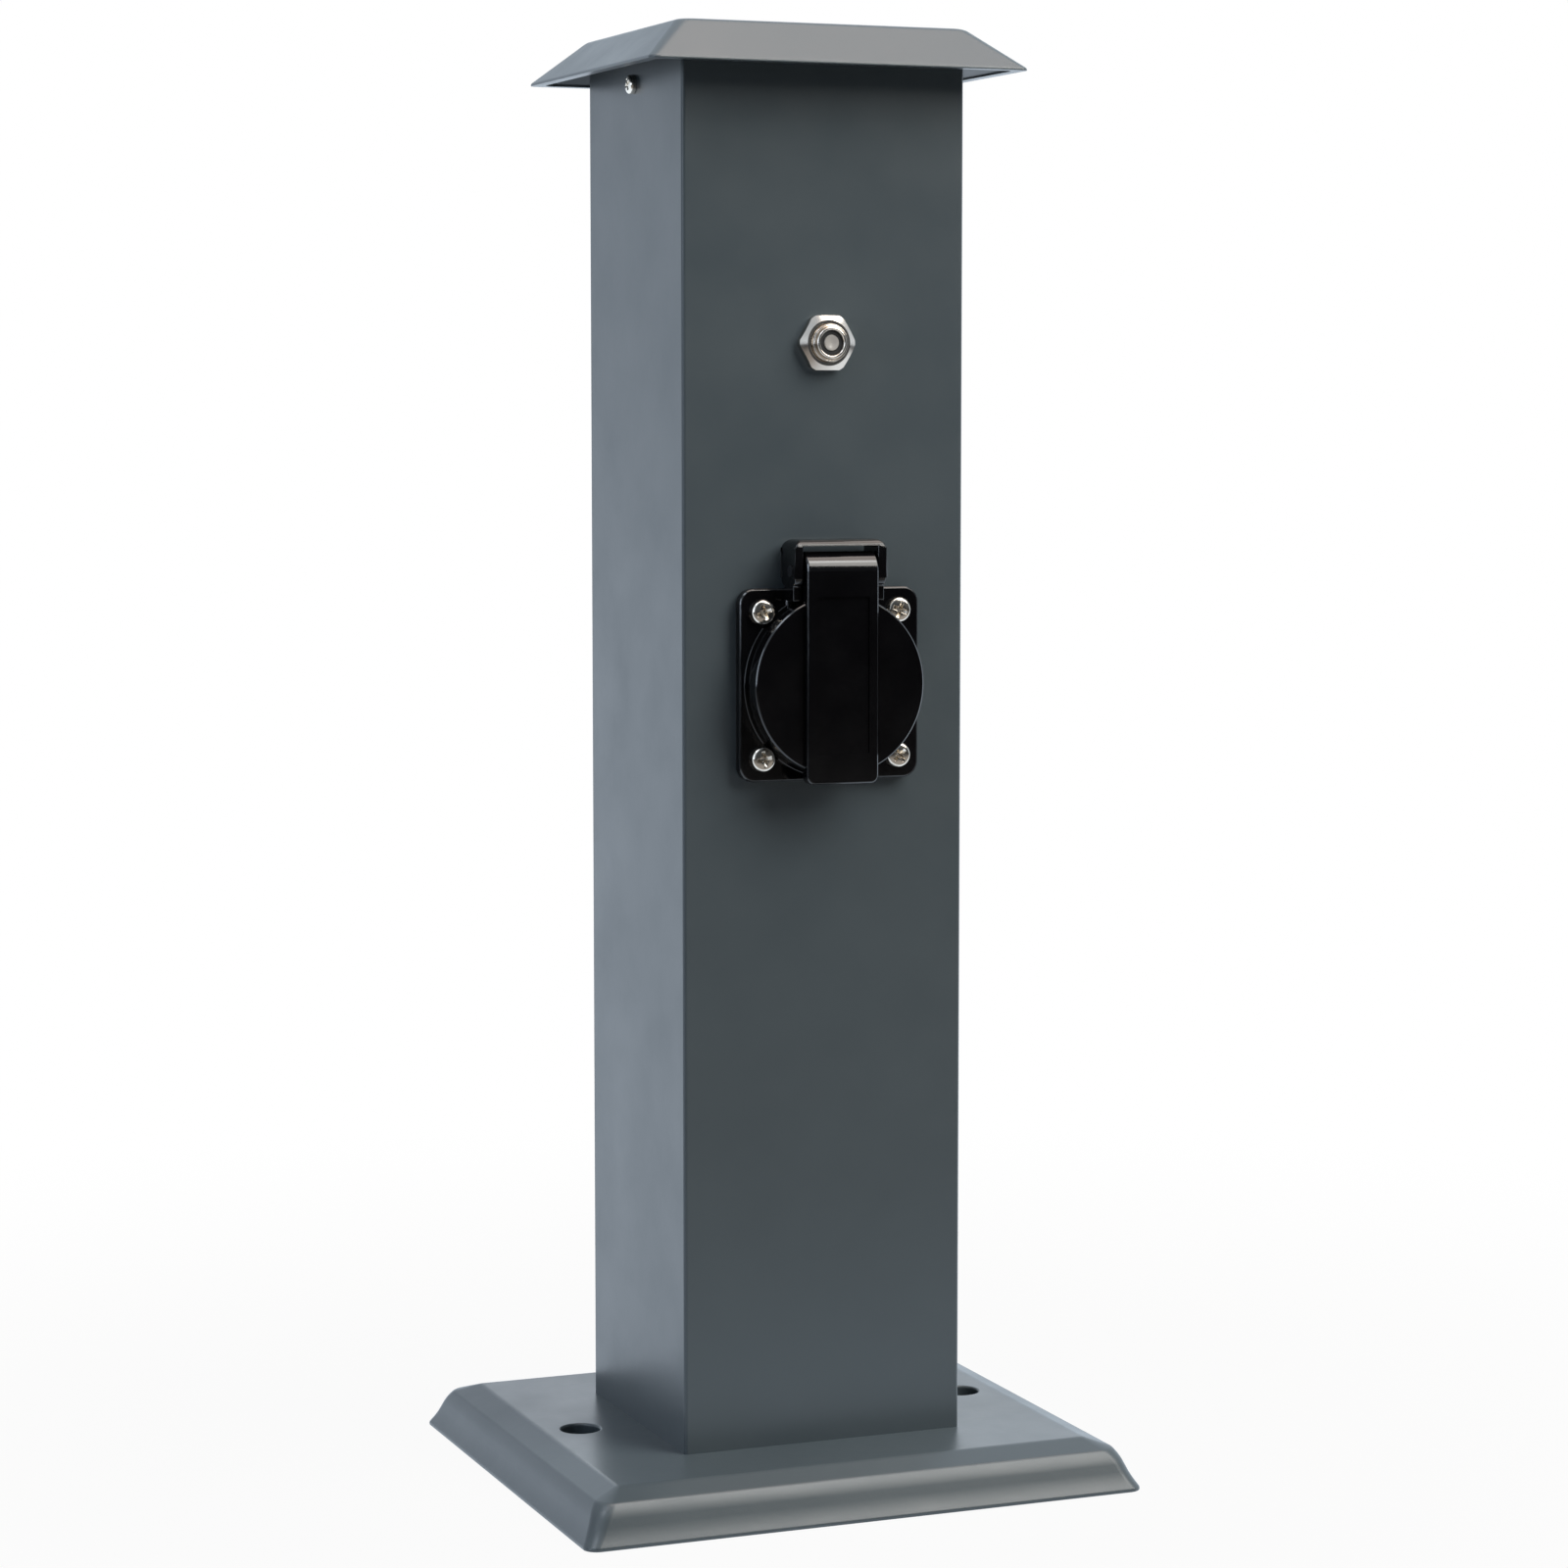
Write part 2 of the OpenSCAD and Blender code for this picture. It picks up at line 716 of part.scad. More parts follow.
module socket_body() {
    color(black) on_front(socket_z) difference() {
        union() {
            translate([0, 0, gasket_t]) linear_extrude(flange_t) rounded(flange_w, flange_w, flange_r);
            peg(collar_r, gasket_t, collar_front);
            difference() {
                peg(ring_r, gasket_t, ring_front);
                corners(screw_pitch, screw_pitch)
                    peg(flange_head_r + head_room, flange_front, ring_front + cut);
            }
            peg(cup_r, cup_back, gasket_t + sink);
            hinge_bracket();
        }
        peg(well_r, cup_back - cut, collar_front + cut);
        corners(screw_pitch, screw_pitch) peg(flange_screw_r + loose, 0, flange_front + cut);
        across(bracket_w + 2 * cut) translate([hinge_out, hinge_up]) circle(pin_r + slip);
    }
}

module socket_screws() {
    color(nickel) on_front(socket_z) corners(screw_pitch, screw_pitch) {
        peg(flange_screw_r, -post_wall - flange_screw_past, flange_front);
        translate([0, 0, flange_front]) dome_head(flange_head_r, flange_head_h);
    }
}

module socket_nuts() {
    color(steel) on_front(socket_z) corners(screw_pitch, screw_pitch) difference() {
        translate([0, 0, -post_wall - flange_nut_h])
            cylinder(d = flange_nut_af / cos(30), h = flange_nut_h, $fn = 6);
        peg(flange_screw_r + slip, -post_wall - flange_nut_h - cut, -post_wall + cut);
    }
}

module contact_carrier() {
    slot_len = spigot + carrier_plate + 2 * cut;
    color(dark) on_front(socket_z) difference() {
        union() {
            peg(well_r - loose, cup_back - sink, well_floor);
            peg(cup_r, cup_back - carrier_plate, cup_back);
            peg(carrier_r, carrier_back, cup_back);
        }
        for (side = [-1, 1]) {
            translate([side * pin_pitch / 2, 0, 0]) {
                peg(plug_pin_r + pin_room, cup_back - cut, well_floor + cut);
                peg(sleeve_r + slip, carrier_back - cut, cup_back);
            }
            translate([0, side * (earth_at + earth_t / 2), (well_floor + cup_back - carrier_plate) / 2])
                cube([earth_w + 2 * loose, earth_t + 2 * loose, slot_len], center = true);
        }
    }
}

// The screw hole in the back of a contact's head
module contact_screw_hole() {
    peg(small_screw_r + slip, carrier_back - contact_head - cut, carrier_back - head_floor);
}

module line_contacts() {
    color(brass) on_front(socket_z) for (side = [-1, 1]) {
        translate([side * pin_pitch / 2, 0, 0]) {
            ring(sleeve_r, plug_pin_r + slip, carrier_back, cup_back - loose);
            difference() {
                translate([0, 0, carrier_back - contact_head / 2])
                    cube([contact_head_w, contact_head_h, contact_head], center = true);
                contact_screw_hole();
            }
        }
    }
}

module earth_contact() {
    arm_len = earth_front - carrier_back + earth_t;
    color(nickel) on_front(socket_z) difference() {
        union() {
            translate([0, 0, carrier_back - earth_t / 2])
                cube([earth_w, 2 * (earth_at + earth_t), earth_t], center = true);
            for (side = [-1, 1]) {
                translate([0, side * (earth_at + earth_t / 2), earth_front - arm_len / 2])
                    cube([earth_w, earth_t, arm_len], center = true);
                across(earth_bead_w) translate([earth_front - earth_bead_in, side * earth_at])
                    circle(earth_bead_r);
            }
            translate([0, 0, carrier_back - contact_head / 2])
                cube([earth_w, earth_head_h, contact_head], center = true);
        }
        contact_screw_hole();
    }
}

module contact_screws() {
    color(steel) on_front(socket_z) for (x = [-pin_pitch / 2, 0, pin_pitch / 2]) {
        translate([x, 0, carrier_back - contact_head]) {
            cylinder(r = small_screw_r, h = contact_head - head_floor - screw_tip);
            mirror([0, 0, 1]) dome_head(contact_screw_head_r, small_head_h);
        }
    }
}

module socket_lid() {
    strap_len = hinge_up + strap_drop;
    color(black) on_front(socket_z) difference() {
        union() {
            rotate_extrude($fn = 96) polygon([
                [0, lid_inside], [lid_r - lid_rim_t, lid_inside], [lid_r - lid_rim_t, lid_back],
                [lid_r, lid_back], [lid_r, lid_front - lid_bevel], [lid_r - lid_bevel, lid_front],
                [0, lid_front]]);
            translate([0, (hinge_up - strap_drop) / 2, strap_back]) linear_extrude(strap_t) {
                rounded(strap_w, strap_len, strap_corner_r);
                translate([-strap_w / 2, 0]) square([strap_w, strap_len / 2]);
            }
            across(strap_w) translate([hinge_out, hinge_up]) circle(barrel_r);
        }
        across(strap_w + 2 * cut) translate([hinge_out, hinge_up]) circle(pin_r + run);
        across(spring_slot_w) {
            translate([hinge_out, hinge_up]) circle(spring_slot_r);
            translate([hinge_out - barrel_r - cut, hinge_up - barrel_r - cut])
                square([barrel_r + cut, barrel_r + cut + spring_slot_r]);
        }
        translate([0, panel_up, strap_front]) cube([panel_w, panel_len, 2 * panel_deep], center = true);
    }
}

module lid_seal() {
    color(rubber) on_front(socket_z)
        ring(lid_r - lid_rim_t - slip, seal_in_r, lid_inside - seal_t, lid_inside);
}

module hinge_pin() {
    color(steel) on_front(socket_z)
        across(bracket_w + 2 * pin_past) translate([hinge_out, hinge_up]) circle(pin_r);
}

// A point on the spring's turns
function coil_point(i) =
    let (a = -90 + 360 * i / rings_per_turn)
    [spring_len * (i / spring_steps - 0.5), hinge_up + spring_r * sin(a), hinge_out + spring_r * cos(a)];

// A tube of the given radius swept along a list of points, its ends square to go and come
module swept(path, r, sides, go, come) {
    last = len(path) - 1;
    function along(i) = unit(i == 0 ? go : i == last ? come : path[i + 1] - path[i - 1]);
    function beside(t) = unit(cross(t, abs(t.x) < 0.8 ? [1, 0, 0] : [0, 1, 0]));
    function rim(i) = let (t = along(i), u = beside(t), v = cross(t, u))
        [for (k = [0:sides - 1]) path[i] + r * (cos(360 * k / sides) * u + sin(360 * k / sides) * v)];
    points = [for (i = [0:last], p = rim(i)) p];
    walls = [for (i = [0:last - 1], k = [0:sides - 1], half = [0, 1])
        let (a = i * sides + k, b = i * sides + (k + 1) % sides)
        half == 0 ? [a, b, a + sides] : [b, b + sides, a + sides]];
    near = [for (k = [1:sides - 2]) [0, k + 1, k]];
    far = [for (k = [1:sides - 2]) [last * sides, last * sides + k, last * sides + k + 1]];
    polyhedron(points, concat(walls, near, far));
}

module lid_spring() {
    echo("least gap between the turns of lid_spring", spring_self_gap);
    color(steel) on_front(socket_z) swept(spring_path, spring_wire_r, spring_sides,
        spring_path[1] - leg_low, leg_high - spring_path[spring_steps + 1]);
}

module breaker_body() {
    color(dark) on_front(breaker_z) difference() {
        union() {
            difference() {
                translate([0, 0, (case_front + case_back) / 2])
                    cube([breaker_w, breaker_h, breaker_d], center = true);
                peg(neck_r + slip, neck_back, case_front + cut);
            }
            peg(neck_bore_r - slip, neck_back - sink, guide_front);
        }
        peg(button_r + button_room, chamber_front - cut, guide_front + cut);
        peg(stop_r + stop_room, chamber_back, chamber_front);
        for (side = [-1, 1]) {
            translate([0, side * tab_at, case_back + tab_in / 2])
                cube([tab_w + 2 * slip, tab_t + 2 * slip, tab_in + 2 * slip], center = true);
        }
    }
}

module breaker_neck() {
    color(nickel) on_front(breaker_z) ring(neck_r, neck_bore_r, neck_back, neck_lip);
}

module breaker_nut() {
    chamfer = tan(30);
    color(nickel) on_front(breaker_z) difference() {
        intersection() {
            cylinder(d = nut_af / cos(30), h = nut_t, $fn = 6);
            cylinder(r1 = nut_face / 2 + nut_t / chamfer, r2 = nut_face / 2, h = nut_t);
        }
        peg(neck_r + slip, -cut, nut_t + cut);
    }
}

module reset_button() {
    color(pale) on_front(breaker_z) rotate_extrude() polygon([
        [0, stop_back], [stop_r, stop_back], [stop_r, stop_front], [button_r, stop_front],
        [button_r, button_front - button_rim], [button_r - button_rim, button_front], [0, button_front]]);
}

module breaker_tabs() {
    tab_len = tab_in + tab_out;
    color(brass) on_front(breaker_z) for (side = [-1, 1]) {
        translate([0, side * tab_at, tab_back + tab_len / 2]) cube([tab_w, tab_t, tab_len], center = true);
    }
}

// Places a shape at each of the block's two fixing screws, z towards the front, from y back
module at_block_screws(y) {
    for (side = [-1, 1]) {
        translate([side * pole_pitch / 2, y, block_mid]) rotate([90, 0, 0]) children();
    }
}

module terminal_bracket() {
    foot_y = bracket_screw_y - bracket_toe;
    color(steel) difference() {
        translate([-bracket_w_all / 2, 0, foot_h]) {
            translate([0, block_back, 0]) cube([bracket_w_all, bracket_t, upright_top - foot_h]);
            translate([0, foot_y, 0]) cube([bracket_w_all, block_back + bracket_t - foot_y, bracket_t]);
        }
        for (side = [-1, 1]) {
            translate([side * bracket_screw_x, bracket_screw_y, foot_h - cut])
                cylinder(r = bracket_screw_r + loose, h = bracket_t + 2 * cut);
        }
        at_block_screws(block_back + bracket_t + cut)
            cylinder(r = small_screw_r + slip, h = bracket_t + 2 * cut);
    }
}

module bracket_screws() {
    color(steel) for (side = [-1, 1]) {
        seat = foot_h + bracket_t + (side > 0 ? lug_t : 0);
        tip = plate_z - bracket_screw_past;
        translate([side * bracket_screw_x, bracket_screw_y, 0]) {
            translate([0, 0, tip]) cylinder(r = bracket_screw_r, h = seat - tip);
            translate([0, 0, seat]) dome_head(bracket_head_r, bracket_head_h);
        }
    }
}

module terminal_block() {
    color(pale) difference() {
        translate([-block_w / 2, block_front, block_z]) cube([block_w, block_d, block_h]);
        for (pole = [-1, 0, 1]) {
            translate([pole * pole_pitch, clamp_y, block_z - cut])
                cylinder(r = clamp_r + slip, h = block_h + 2 * cut);
            for (row = clamp_rows) {
                translate([pole * pole_pitch, clamp_y, row]) rotate([90, 0, 0])
                    cylinder(r = access_r, h = clamp_y - block_front + cut);
            }
        }
        at_block_screws(block_back + cut) cylinder(r = small_screw_r + slip, h = block_d + 2 * cut);
    }
}

module block_screws() {
    shank = block_d + bracket_t + screw_tip;
    color(steel) at_block_screws(block_front) {
        dome_head(block_head_r, small_head_h);
        translate([0, 0, -shank]) cylinder(r = small_screw_r, h = shank);
    }
}

module block_clamps() {
    color(brass) for (pole = [-1, 0, 1]) {
        translate([pole * pole_pitch, clamp_y, 0]) difference() {
            translate([0, 0, block_z + clamp_inset]) cylinder(r = clamp_r, h = block_h - 2 * clamp_inset);
            for (row = clamp_rows) {
                translate([0, 0, row]) rotate([90, 0, 0])
                    cylinder(r = clamp_screw_r + slip, h = clamp_r + cut);
            }
        }
    }
}

module clamp_screws() {
    color(steel) for (pole = [-1, 0, 1], row = clamp_rows) {
        translate([pole * pole_pitch, clamp_y - clamp_screw_in, row]) rotate([90, 0, 0]) difference() {
            cylinder(r = clamp_screw_r, h = clamp_screw_len);
            translate([0, 0, clamp_screw_len])
                cube([2 * clamp_screw_r + cut, clamp_slot_w, clamp_screw_r], center = true);
        }
    }
}

module bond_lug() {
    color(nickel) difference() {
        union() {
            translate([bracket_screw_x, bracket_screw_y, lug_z]) cylinder(r = lug_eye_r, h = lug_t);
            translate([lug_end, bracket_screw_y - lug_barrel_r, lug_z])
                cube([lug_len, 2 * lug_barrel_r, lug_t]);
            translate([lug_end, bracket_screw_y, lug_axis_z]) rotate([0, 90, 0])
                cylinder(r = lug_barrel_r, h = lug_barrel_len);
        }
        translate([bracket_screw_x, bracket_screw_y, lug_z - cut])
            cylinder(r = bracket_screw_r + loose, h = lug_t + 2 * cut);
    }
}

// A wire on one smooth curve: from a, leaving along go, to b, arriving along come
module wire(a, go, b, come, tint) {
    p = a + go;
    q = b - come;
    path = [for (i = [0:wire_steps]) let (t = i / wire_steps, s = 1 - t)
        s * s * s * a + 3 * s * s * t * p + 3 * s * t * t * q + t * t * t * b];
    color(tint) swept(path, wire_r, wire_sides, go, come);
}

function pole_top(pole) = [pole * pole_pitch, clamp_y, block_top - clamp_inset];

module supply_live_wire() {
    wire(pole_top(-1), [0, 0, supply_leave], [0, tab_y, breaker_z + tab_at], [0, -supply_arrive, 0], brown);
}

module socket_live_wire() {
    wire([0, tab_y, breaker_z - tab_at], [0, link_leave, 0],
        [-pin_pitch / 2, head_y, socket_z + contact_head_h / 2], [0, 0, -link_arrive], brown);
}

module neutral_wire() {
    wire(pole_top(1), [0, 0, rise_leave],
        [pin_pitch / 2, head_y, socket_z - contact_head_h / 2], [0, 0, rise_arrive], blue);
}

module earth_wire() {
    wire(pole_top(0), [0, 0, rise_leave],
        [0, head_y, socket_z - earth_head_h / 2], [0, 0, rise_arrive], green);
}

module bond_wire() {
    wire([0, clamp_y, block_z + clamp_inset], [0, 0, -bond_leave],
        [lug_end, bracket_screw_y, lug_axis_z], [bond_arrive, 0, 0], green);
}

base_plate();
base_screws();
cable_grommet();
post_tube();
roof_cap();
cap_screws();
socket_gasket();
socket_body();
socket_screws();
socket_nuts();
contact_carrier();
line_contacts();
earth_contact();
contact_screws();
socket_lid();
lid_seal();
hinge_pin();
lid_spring();
breaker_body();
breaker_neck();
breaker_nut();
reset_button();
breaker_tabs();
terminal_bracket();
bracket_screws();
terminal_block();
block_screws();
block_clamps();
clamp_screws();
bond_lug();
supply_live_wire();
socket_live_wire();
neutral_wire();
earth_wire();
bond_wire();
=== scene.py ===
"""Garden socket post: its finishes, softened shells, screws, wires and studio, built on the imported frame."""
from __future__ import annotations

import functools
import json
import logging
import math
from dataclasses import dataclass
from enum import Enum
from typing import Any, Iterable, Sequence

import bmesh
import bpy
from mathutils import Euler, Matrix, Vector

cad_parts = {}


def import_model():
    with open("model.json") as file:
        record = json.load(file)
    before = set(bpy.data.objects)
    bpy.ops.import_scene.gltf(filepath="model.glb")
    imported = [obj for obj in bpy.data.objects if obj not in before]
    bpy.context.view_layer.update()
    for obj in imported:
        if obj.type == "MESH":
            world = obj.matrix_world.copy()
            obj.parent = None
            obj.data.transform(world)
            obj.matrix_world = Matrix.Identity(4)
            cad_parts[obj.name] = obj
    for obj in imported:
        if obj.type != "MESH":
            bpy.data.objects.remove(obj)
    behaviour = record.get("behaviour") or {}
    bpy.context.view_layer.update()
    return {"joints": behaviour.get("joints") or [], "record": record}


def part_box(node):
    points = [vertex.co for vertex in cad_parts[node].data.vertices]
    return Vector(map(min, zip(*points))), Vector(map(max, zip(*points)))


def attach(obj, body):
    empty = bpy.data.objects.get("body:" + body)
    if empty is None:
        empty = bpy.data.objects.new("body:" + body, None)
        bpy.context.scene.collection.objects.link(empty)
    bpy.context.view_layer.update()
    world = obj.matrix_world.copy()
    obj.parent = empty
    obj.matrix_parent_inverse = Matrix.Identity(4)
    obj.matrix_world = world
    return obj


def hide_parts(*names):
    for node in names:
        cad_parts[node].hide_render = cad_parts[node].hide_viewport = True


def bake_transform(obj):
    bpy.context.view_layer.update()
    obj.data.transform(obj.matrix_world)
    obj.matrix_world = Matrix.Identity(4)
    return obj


LOG = logging.getLogger("socket_post")

# Sizes are in millimetres, as on a drawing, and become metres where a mesh is made
MM = 0.001

# Stretches in a corner, in a rounding, and round a turned shape, by how large it shows
CORNER_STEPS = 12
ROUNDING_STEPS = 6
FINE_ROUNDING_STEPS = 8
SMALL_DRILL_STEPS = 32
DRILL_STEPS = 40
SMALL_TURN_STEPS = 48
TURN_STEPS = 72
WIDE_TURN_STEPS = 96
LID_STEPS = 128

# Least turn between two faces, in degrees, that still shows as an edge
NUT_EDGE = 20.0
PLAIN_EDGE = 32.0
SHELL_EDGE = 40.0
WIRE_EDGE = 60.0

# Cutters reach past what they cut by this much or half of it, so that no two faces lie in one plane
CUT_PAST = 2.0
# A lathe leaves this radius about its axis, and a line that ends this close to its start is a ring
AXIS_R = 1e-3
SAME_POINT = 1e-6
# A bevel that is too small to see, the least radius of a corner, and the rounding of a bevel as a share of it
NO_BEVEL = 0.01
LEAST_CORNER_R = 0.05
BEVEL_SOFT = 0.25

# What several sub-assemblies share
POST_FACE = -36.0
POST_WALL = 2.0
FLANGE_SCREW_PITCH = 38.0
BASE_HEAD_R = 4.8

# The colour sockets of a Mix node share their names with others, so they go by number
MIX_FACTOR = 0
MIX_A = 6
MIX_B = 7
MIX_RESULT = 2
WHITE = (1.0, 1.0, 1.0, 1.0)
BLACK = (0.0, 0.0, 0.0, 1.0)

# How finely the clouds, the grain and the lathe's rings break up, and the span of values that clouds cover
CLOUD_DETAIL = 5.0
CLOUD_ROUGHNESS = 0.6
CLOUD_LOW = 0.3
CLOUD_HIGH = 0.7
GRAIN_DETAIL = 3.0
RING_DETAIL = 2.0
# Drops the part of a place that runs along Y, which is the lathe's axis
ACROSS_Y = (1.0, 0.0, 1.0)


class Body(Enum):
    """The groups of pieces that move as one."""

    POST = "post"
    LID = "lid"
    BUTTON = "button"


class Pattern(Enum):
    """How a surface was made, which sets the run of its fine relief."""

    SPRAYED = "sprayed"
    MOULDED = "moulded"
    TURNED = "turned"
    DRAWN = "drawn"


class Cut(Enum):
    """Ways to combine two solids."""

    ADD = "UNION"
    REMOVE = "DIFFERENCE"
    SHARE = "INTERSECT"


class Ray(Enum):
    """The kinds of ray that see the studio's white background."""

    CAMERA = "Is Camera Ray"
    GLOSSY = "Is Glossy Ray"
    TRANSMISSION = "Is Transmission Ray"


def linear(code: str) -> tuple[float, float, float, float]:
    """Turn an sRGB hex colour into linear light.

    Args:
        code: colour such as "#4B5459".
    Returns:
        Red, green, blue and an alpha of one.
    """
    parts = [int(code[i:i + 2], 16) / 255 for i in (1, 3, 5)]
    light = [c / 12.92 if c <= 0.04045 else ((c + 0.055) / 1.055) ** 2.4 for c in parts]
    return light[0], light[1], light[2], 1.0


def scaled(code: str, level: float) -> tuple[float, float, float, float]:
    """Turn an sRGB hex colour into linear light at a level."""
    red, green, blue, alpha = linear(code)
    return level * red, level * green, level * blue, alpha


def per_metre(size_mm: float) -> float:
    """Texture scale whose features are about this many millimetres wide."""
    return 1 / (size_mm * MM)


def add_node(tree: bpy.types.NodeTree, kind: str, inputs: dict[Any, Any] | None = None,
             **settings: Any) -> bpy.types.Node:
    """Add a node with its settings, and set or link its inputs.

    Args:
        tree: node tree that takes the node.
        kind: Blender's name for the type of node.
        inputs: a value, or an output socket to link from, for each input by name or number.
        settings: attributes of the node.
    Returns:
        The new node.
    """
    made = tree.nodes.new(kind)
    for name, value in settings.items():
        setattr(made, name, value)
    for key, value in (inputs or {}).items():
        if isinstance(value, bpy.types.NodeSocket):
            tree.links.new(value, made.inputs[key])
        else:
            made.inputs[key].default_value = value
    return made


@dataclass(frozen=True)
class Finish:
    """A material and how its surface was made. Sizes of its patterns are in millimetres."""

    name: str
    slot: str
    colour: str
    tint: str
    roughness: float
    rough_spread: float = 0.04
    metallic: float = 0.0
    ior: float = 1.5
    pattern: Pattern = Pattern.MOULDED
    grain_mm: float = 0.6
    relief_mm: float = 0.01
    cloud_mm: float = 14.0
    drawn_along: tuple[float, float, float] = (1.0, 1.0, 1.0)
    turned_about: tuple[float, float, float] = (0.0, 0.0, 0.0)

    @functools.cache
    def material(self) -> bpy.types.Material:
        """Make the node material once.

        Returns:
            The material, whose colour, roughness and relief all come from its own patterns.
        """
        made = bpy.data.materials.new(self.name)
        made.use_nodes = True
        tree = made.node_tree
        tree.nodes.clear()
        place = add_node(tree, "ShaderNodeTexCoord").outputs["Object"]
        cloud = add_node(tree, "ShaderNodeTexNoise", {
            "Vector": place, "Scale": per_metre(self.cloud_mm), "Detail": CLOUD_DETAIL,
            "Roughness": CLOUD_ROUGHNESS}).outputs["Fac"]
        colour = add_node(tree, "ShaderNodeMix", {
            MIX_FACTOR: cloud, MIX_A: linear(self.colour), MIX_B: linear(self.tint)},
            data_type="RGBA").outputs[MIX_RESULT]
        gloss = add_node(tree, "ShaderNodeMapRange", {
            "Value": cloud, "From Min": CLOUD_LOW, "From Max": CLOUD_HIGH,
            "To Min": self.roughness - self.rough_spread, "To Max": self.roughness + self.rough_spread})
        relief = add_node(tree, "ShaderNodeBump", {
            "Height": self.grain(tree, place), "Distance": self.relief_mm * MM, "Strength": 1.0})
        shader = add_node(tree, "ShaderNodeBsdfPrincipled", {
            "Base Color": colour, "Metallic": self.metallic, "Roughness": gloss.outputs["Result"],
            "IOR": self.ior, "Normal": relief.outputs["Normal"]})
        add_node(tree, "ShaderNodeOutputMaterial", {"Surface": shader.outputs["BSDF"]})
        return made

    def grain(self, tree: bpy.types.NodeTree, place: bpy.types.NodeSocket) -> bpy.types.NodeSocket:
        """Add the nodes of the fine relief.

        Args:
            tree: the material's nodes.
            place: position on the piece.
        Returns:
            The height of the relief, from nought to one.
        """
        if self.pattern is Pattern.TURNED:
            arm = add_node(tree, "ShaderNodeVectorMath", {
                0: place, 1: [c * MM for c in self.turned_about]}, operation="SUBTRACT").outputs[0]
            flat = add_node(tree, "ShaderNodeVectorMath", {
                0: arm, 1: ACROSS_Y}, operation="MULTIPLY").outputs[0]
            reach = add_node(tree, "ShaderNodeVectorMath", {0: flat}, operation="LENGTH").outputs["Value"]
            return add_node(tree, "ShaderNodeTexNoise", {
                "W": reach, "Scale": per_metre(self.grain_mm), "Detail": RING_DETAIL},
                noise_dimensions="1D").outputs["Fac"]
        if self.pattern is Pattern.DRAWN:
            place = add_node(tree, "ShaderNodeVectorMath", {
                0: place, 1: self.drawn_along}, operation="MULTIPLY").outputs[0]
        return add_node(tree, "ShaderNodeTexNoise", {
            "Vector": place, "Scale": per_metre(self.grain_mm), "Detail": GRAIN_DETAIL}).outputs["Fac"]


# A millimetre is about four pixels of the photograph, so lathe rings, draw lines and the grain of matt
# mouldings are drawn coarser than they really are, at a quarter of a millimetre or more, to show at all

# Polyester powder, sprayed on steel and baked: satin, with a low orange peel that breaks up reflections
POWDER_COAT = Finish("powder_coat_sprayed_and_baked", "anthracite_coat", "#465056", "#4C565B", 0.33,
                     rough_spread=0.04, pattern=Pattern.SPRAYED, grain_mm=1.6, relief_mm=0.012, cloud_mm=22)
# Polyamide moulded in a polished tool: deep black with sharp reflections and a trace of flow
BLACK_POLYAMIDE = Finish("polyamide_moulded_gloss", "black_gloss", "#08080A", "#0C0C0E", 0.1,
                         rough_spread=0.03, ior=1.53, grain_mm=2.4, relief_mm=0.004, cloud_mm=9)
# Rubber moulded in a plain tool: dull and dark, with no clear reflection
RUBBER = Finish("epdm_rubber_moulded", "black_rubber", "#141415", "#1B1B1C", 0.72,
                grain_mm=0.5, relief_mm=0.02)
# Nickel plated on turned brass: a warm mirror with faint rings from the lathe
NICKEL_TURNED = Finish("nickel_plated_brass_turned", "nickel_plate", "#E2DAD0", "#D6CCC0", 0.18,
                       metallic=1.0, pattern=Pattern.TURNED, grain_mm=0.25, relief_mm=0.0012, cloud_mm=3,
                       turned_about=(0.0, 0.0, 302.7))
# Nickel plated on cold headed steel screws: bright, with a slight ripple from the header
NICKEL_HEADED = Finish("nickel_plated_steel_headed", "nickel_plate", "#E0D9CE", "#D3CBBF", 0.17,
                       metallic=1.0, grain_mm=0.8, relief_mm=0.006, cloud_mm=3)
# Zinc plate with a clear passivation: grey, a little blue and cloudy
ZINC_PLATE = Finish("zinc_plated_steel_passivated", "zinc_steel", "#B4BAC0", "#C6C8C4", 0.34,
                    metallic=1.0, grain_mm=0.5, relief_mm=0.006, cloud_mm=4)
# Spring wire, drawn through a die: bright grey with lines along its length
SPRING_STEEL = Finish("spring_steel_wire_drawn", "spring_steel", "#9FA2A6", "#B3B4B5", 0.28,
                      metallic=1.0, pattern=Pattern.DRAWN, grain_mm=0.3, relief_mm=0.004, cloud_mm=4,
                      drawn_along=(0.1, 1.0, 1.0))
# Hinge pin, ground and blackened: dark, with a low sheen
BLACK_STEEL = Finish("steel_pin_blackened", "spring_steel", "#26272A", "#303134", 0.4,
                     metallic=0.6, grain_mm=0.3, relief_mm=0.004, cloud_mm=3)
# Brass strip, rolled and stamped: yellow metal, slightly tarnished
BRASS = Finish("brass_strip_rolled", "contact_brass", "#C9A552", "#B58F45", 0.3,
               metallic=1.0, pattern=Pattern.DRAWN, grain_mm=0.3, relief_mm=0.005, cloud_mm=5,
               drawn_along=(1.0, 0.1, 1.0))
# Phenolic moulding of the contact carrier and the breaker's case: near black and matt
DARK_PHENOLIC = Finish("phenolic_moulded_matt", "dark_moulding", "#1C1D1F", "#242527", 0.5,
                       grain_mm=0.35, relief_mm=0.015)
# Polyamide of the terminal block: milky white and dull
WHITE_POLYAMIDE = Finish("polyamide_moulded_natural", "block_moulding", "#D9D4C6", "#E2DED2", 0.45,
                         grain_mm=0.5, relief_mm=0.01)
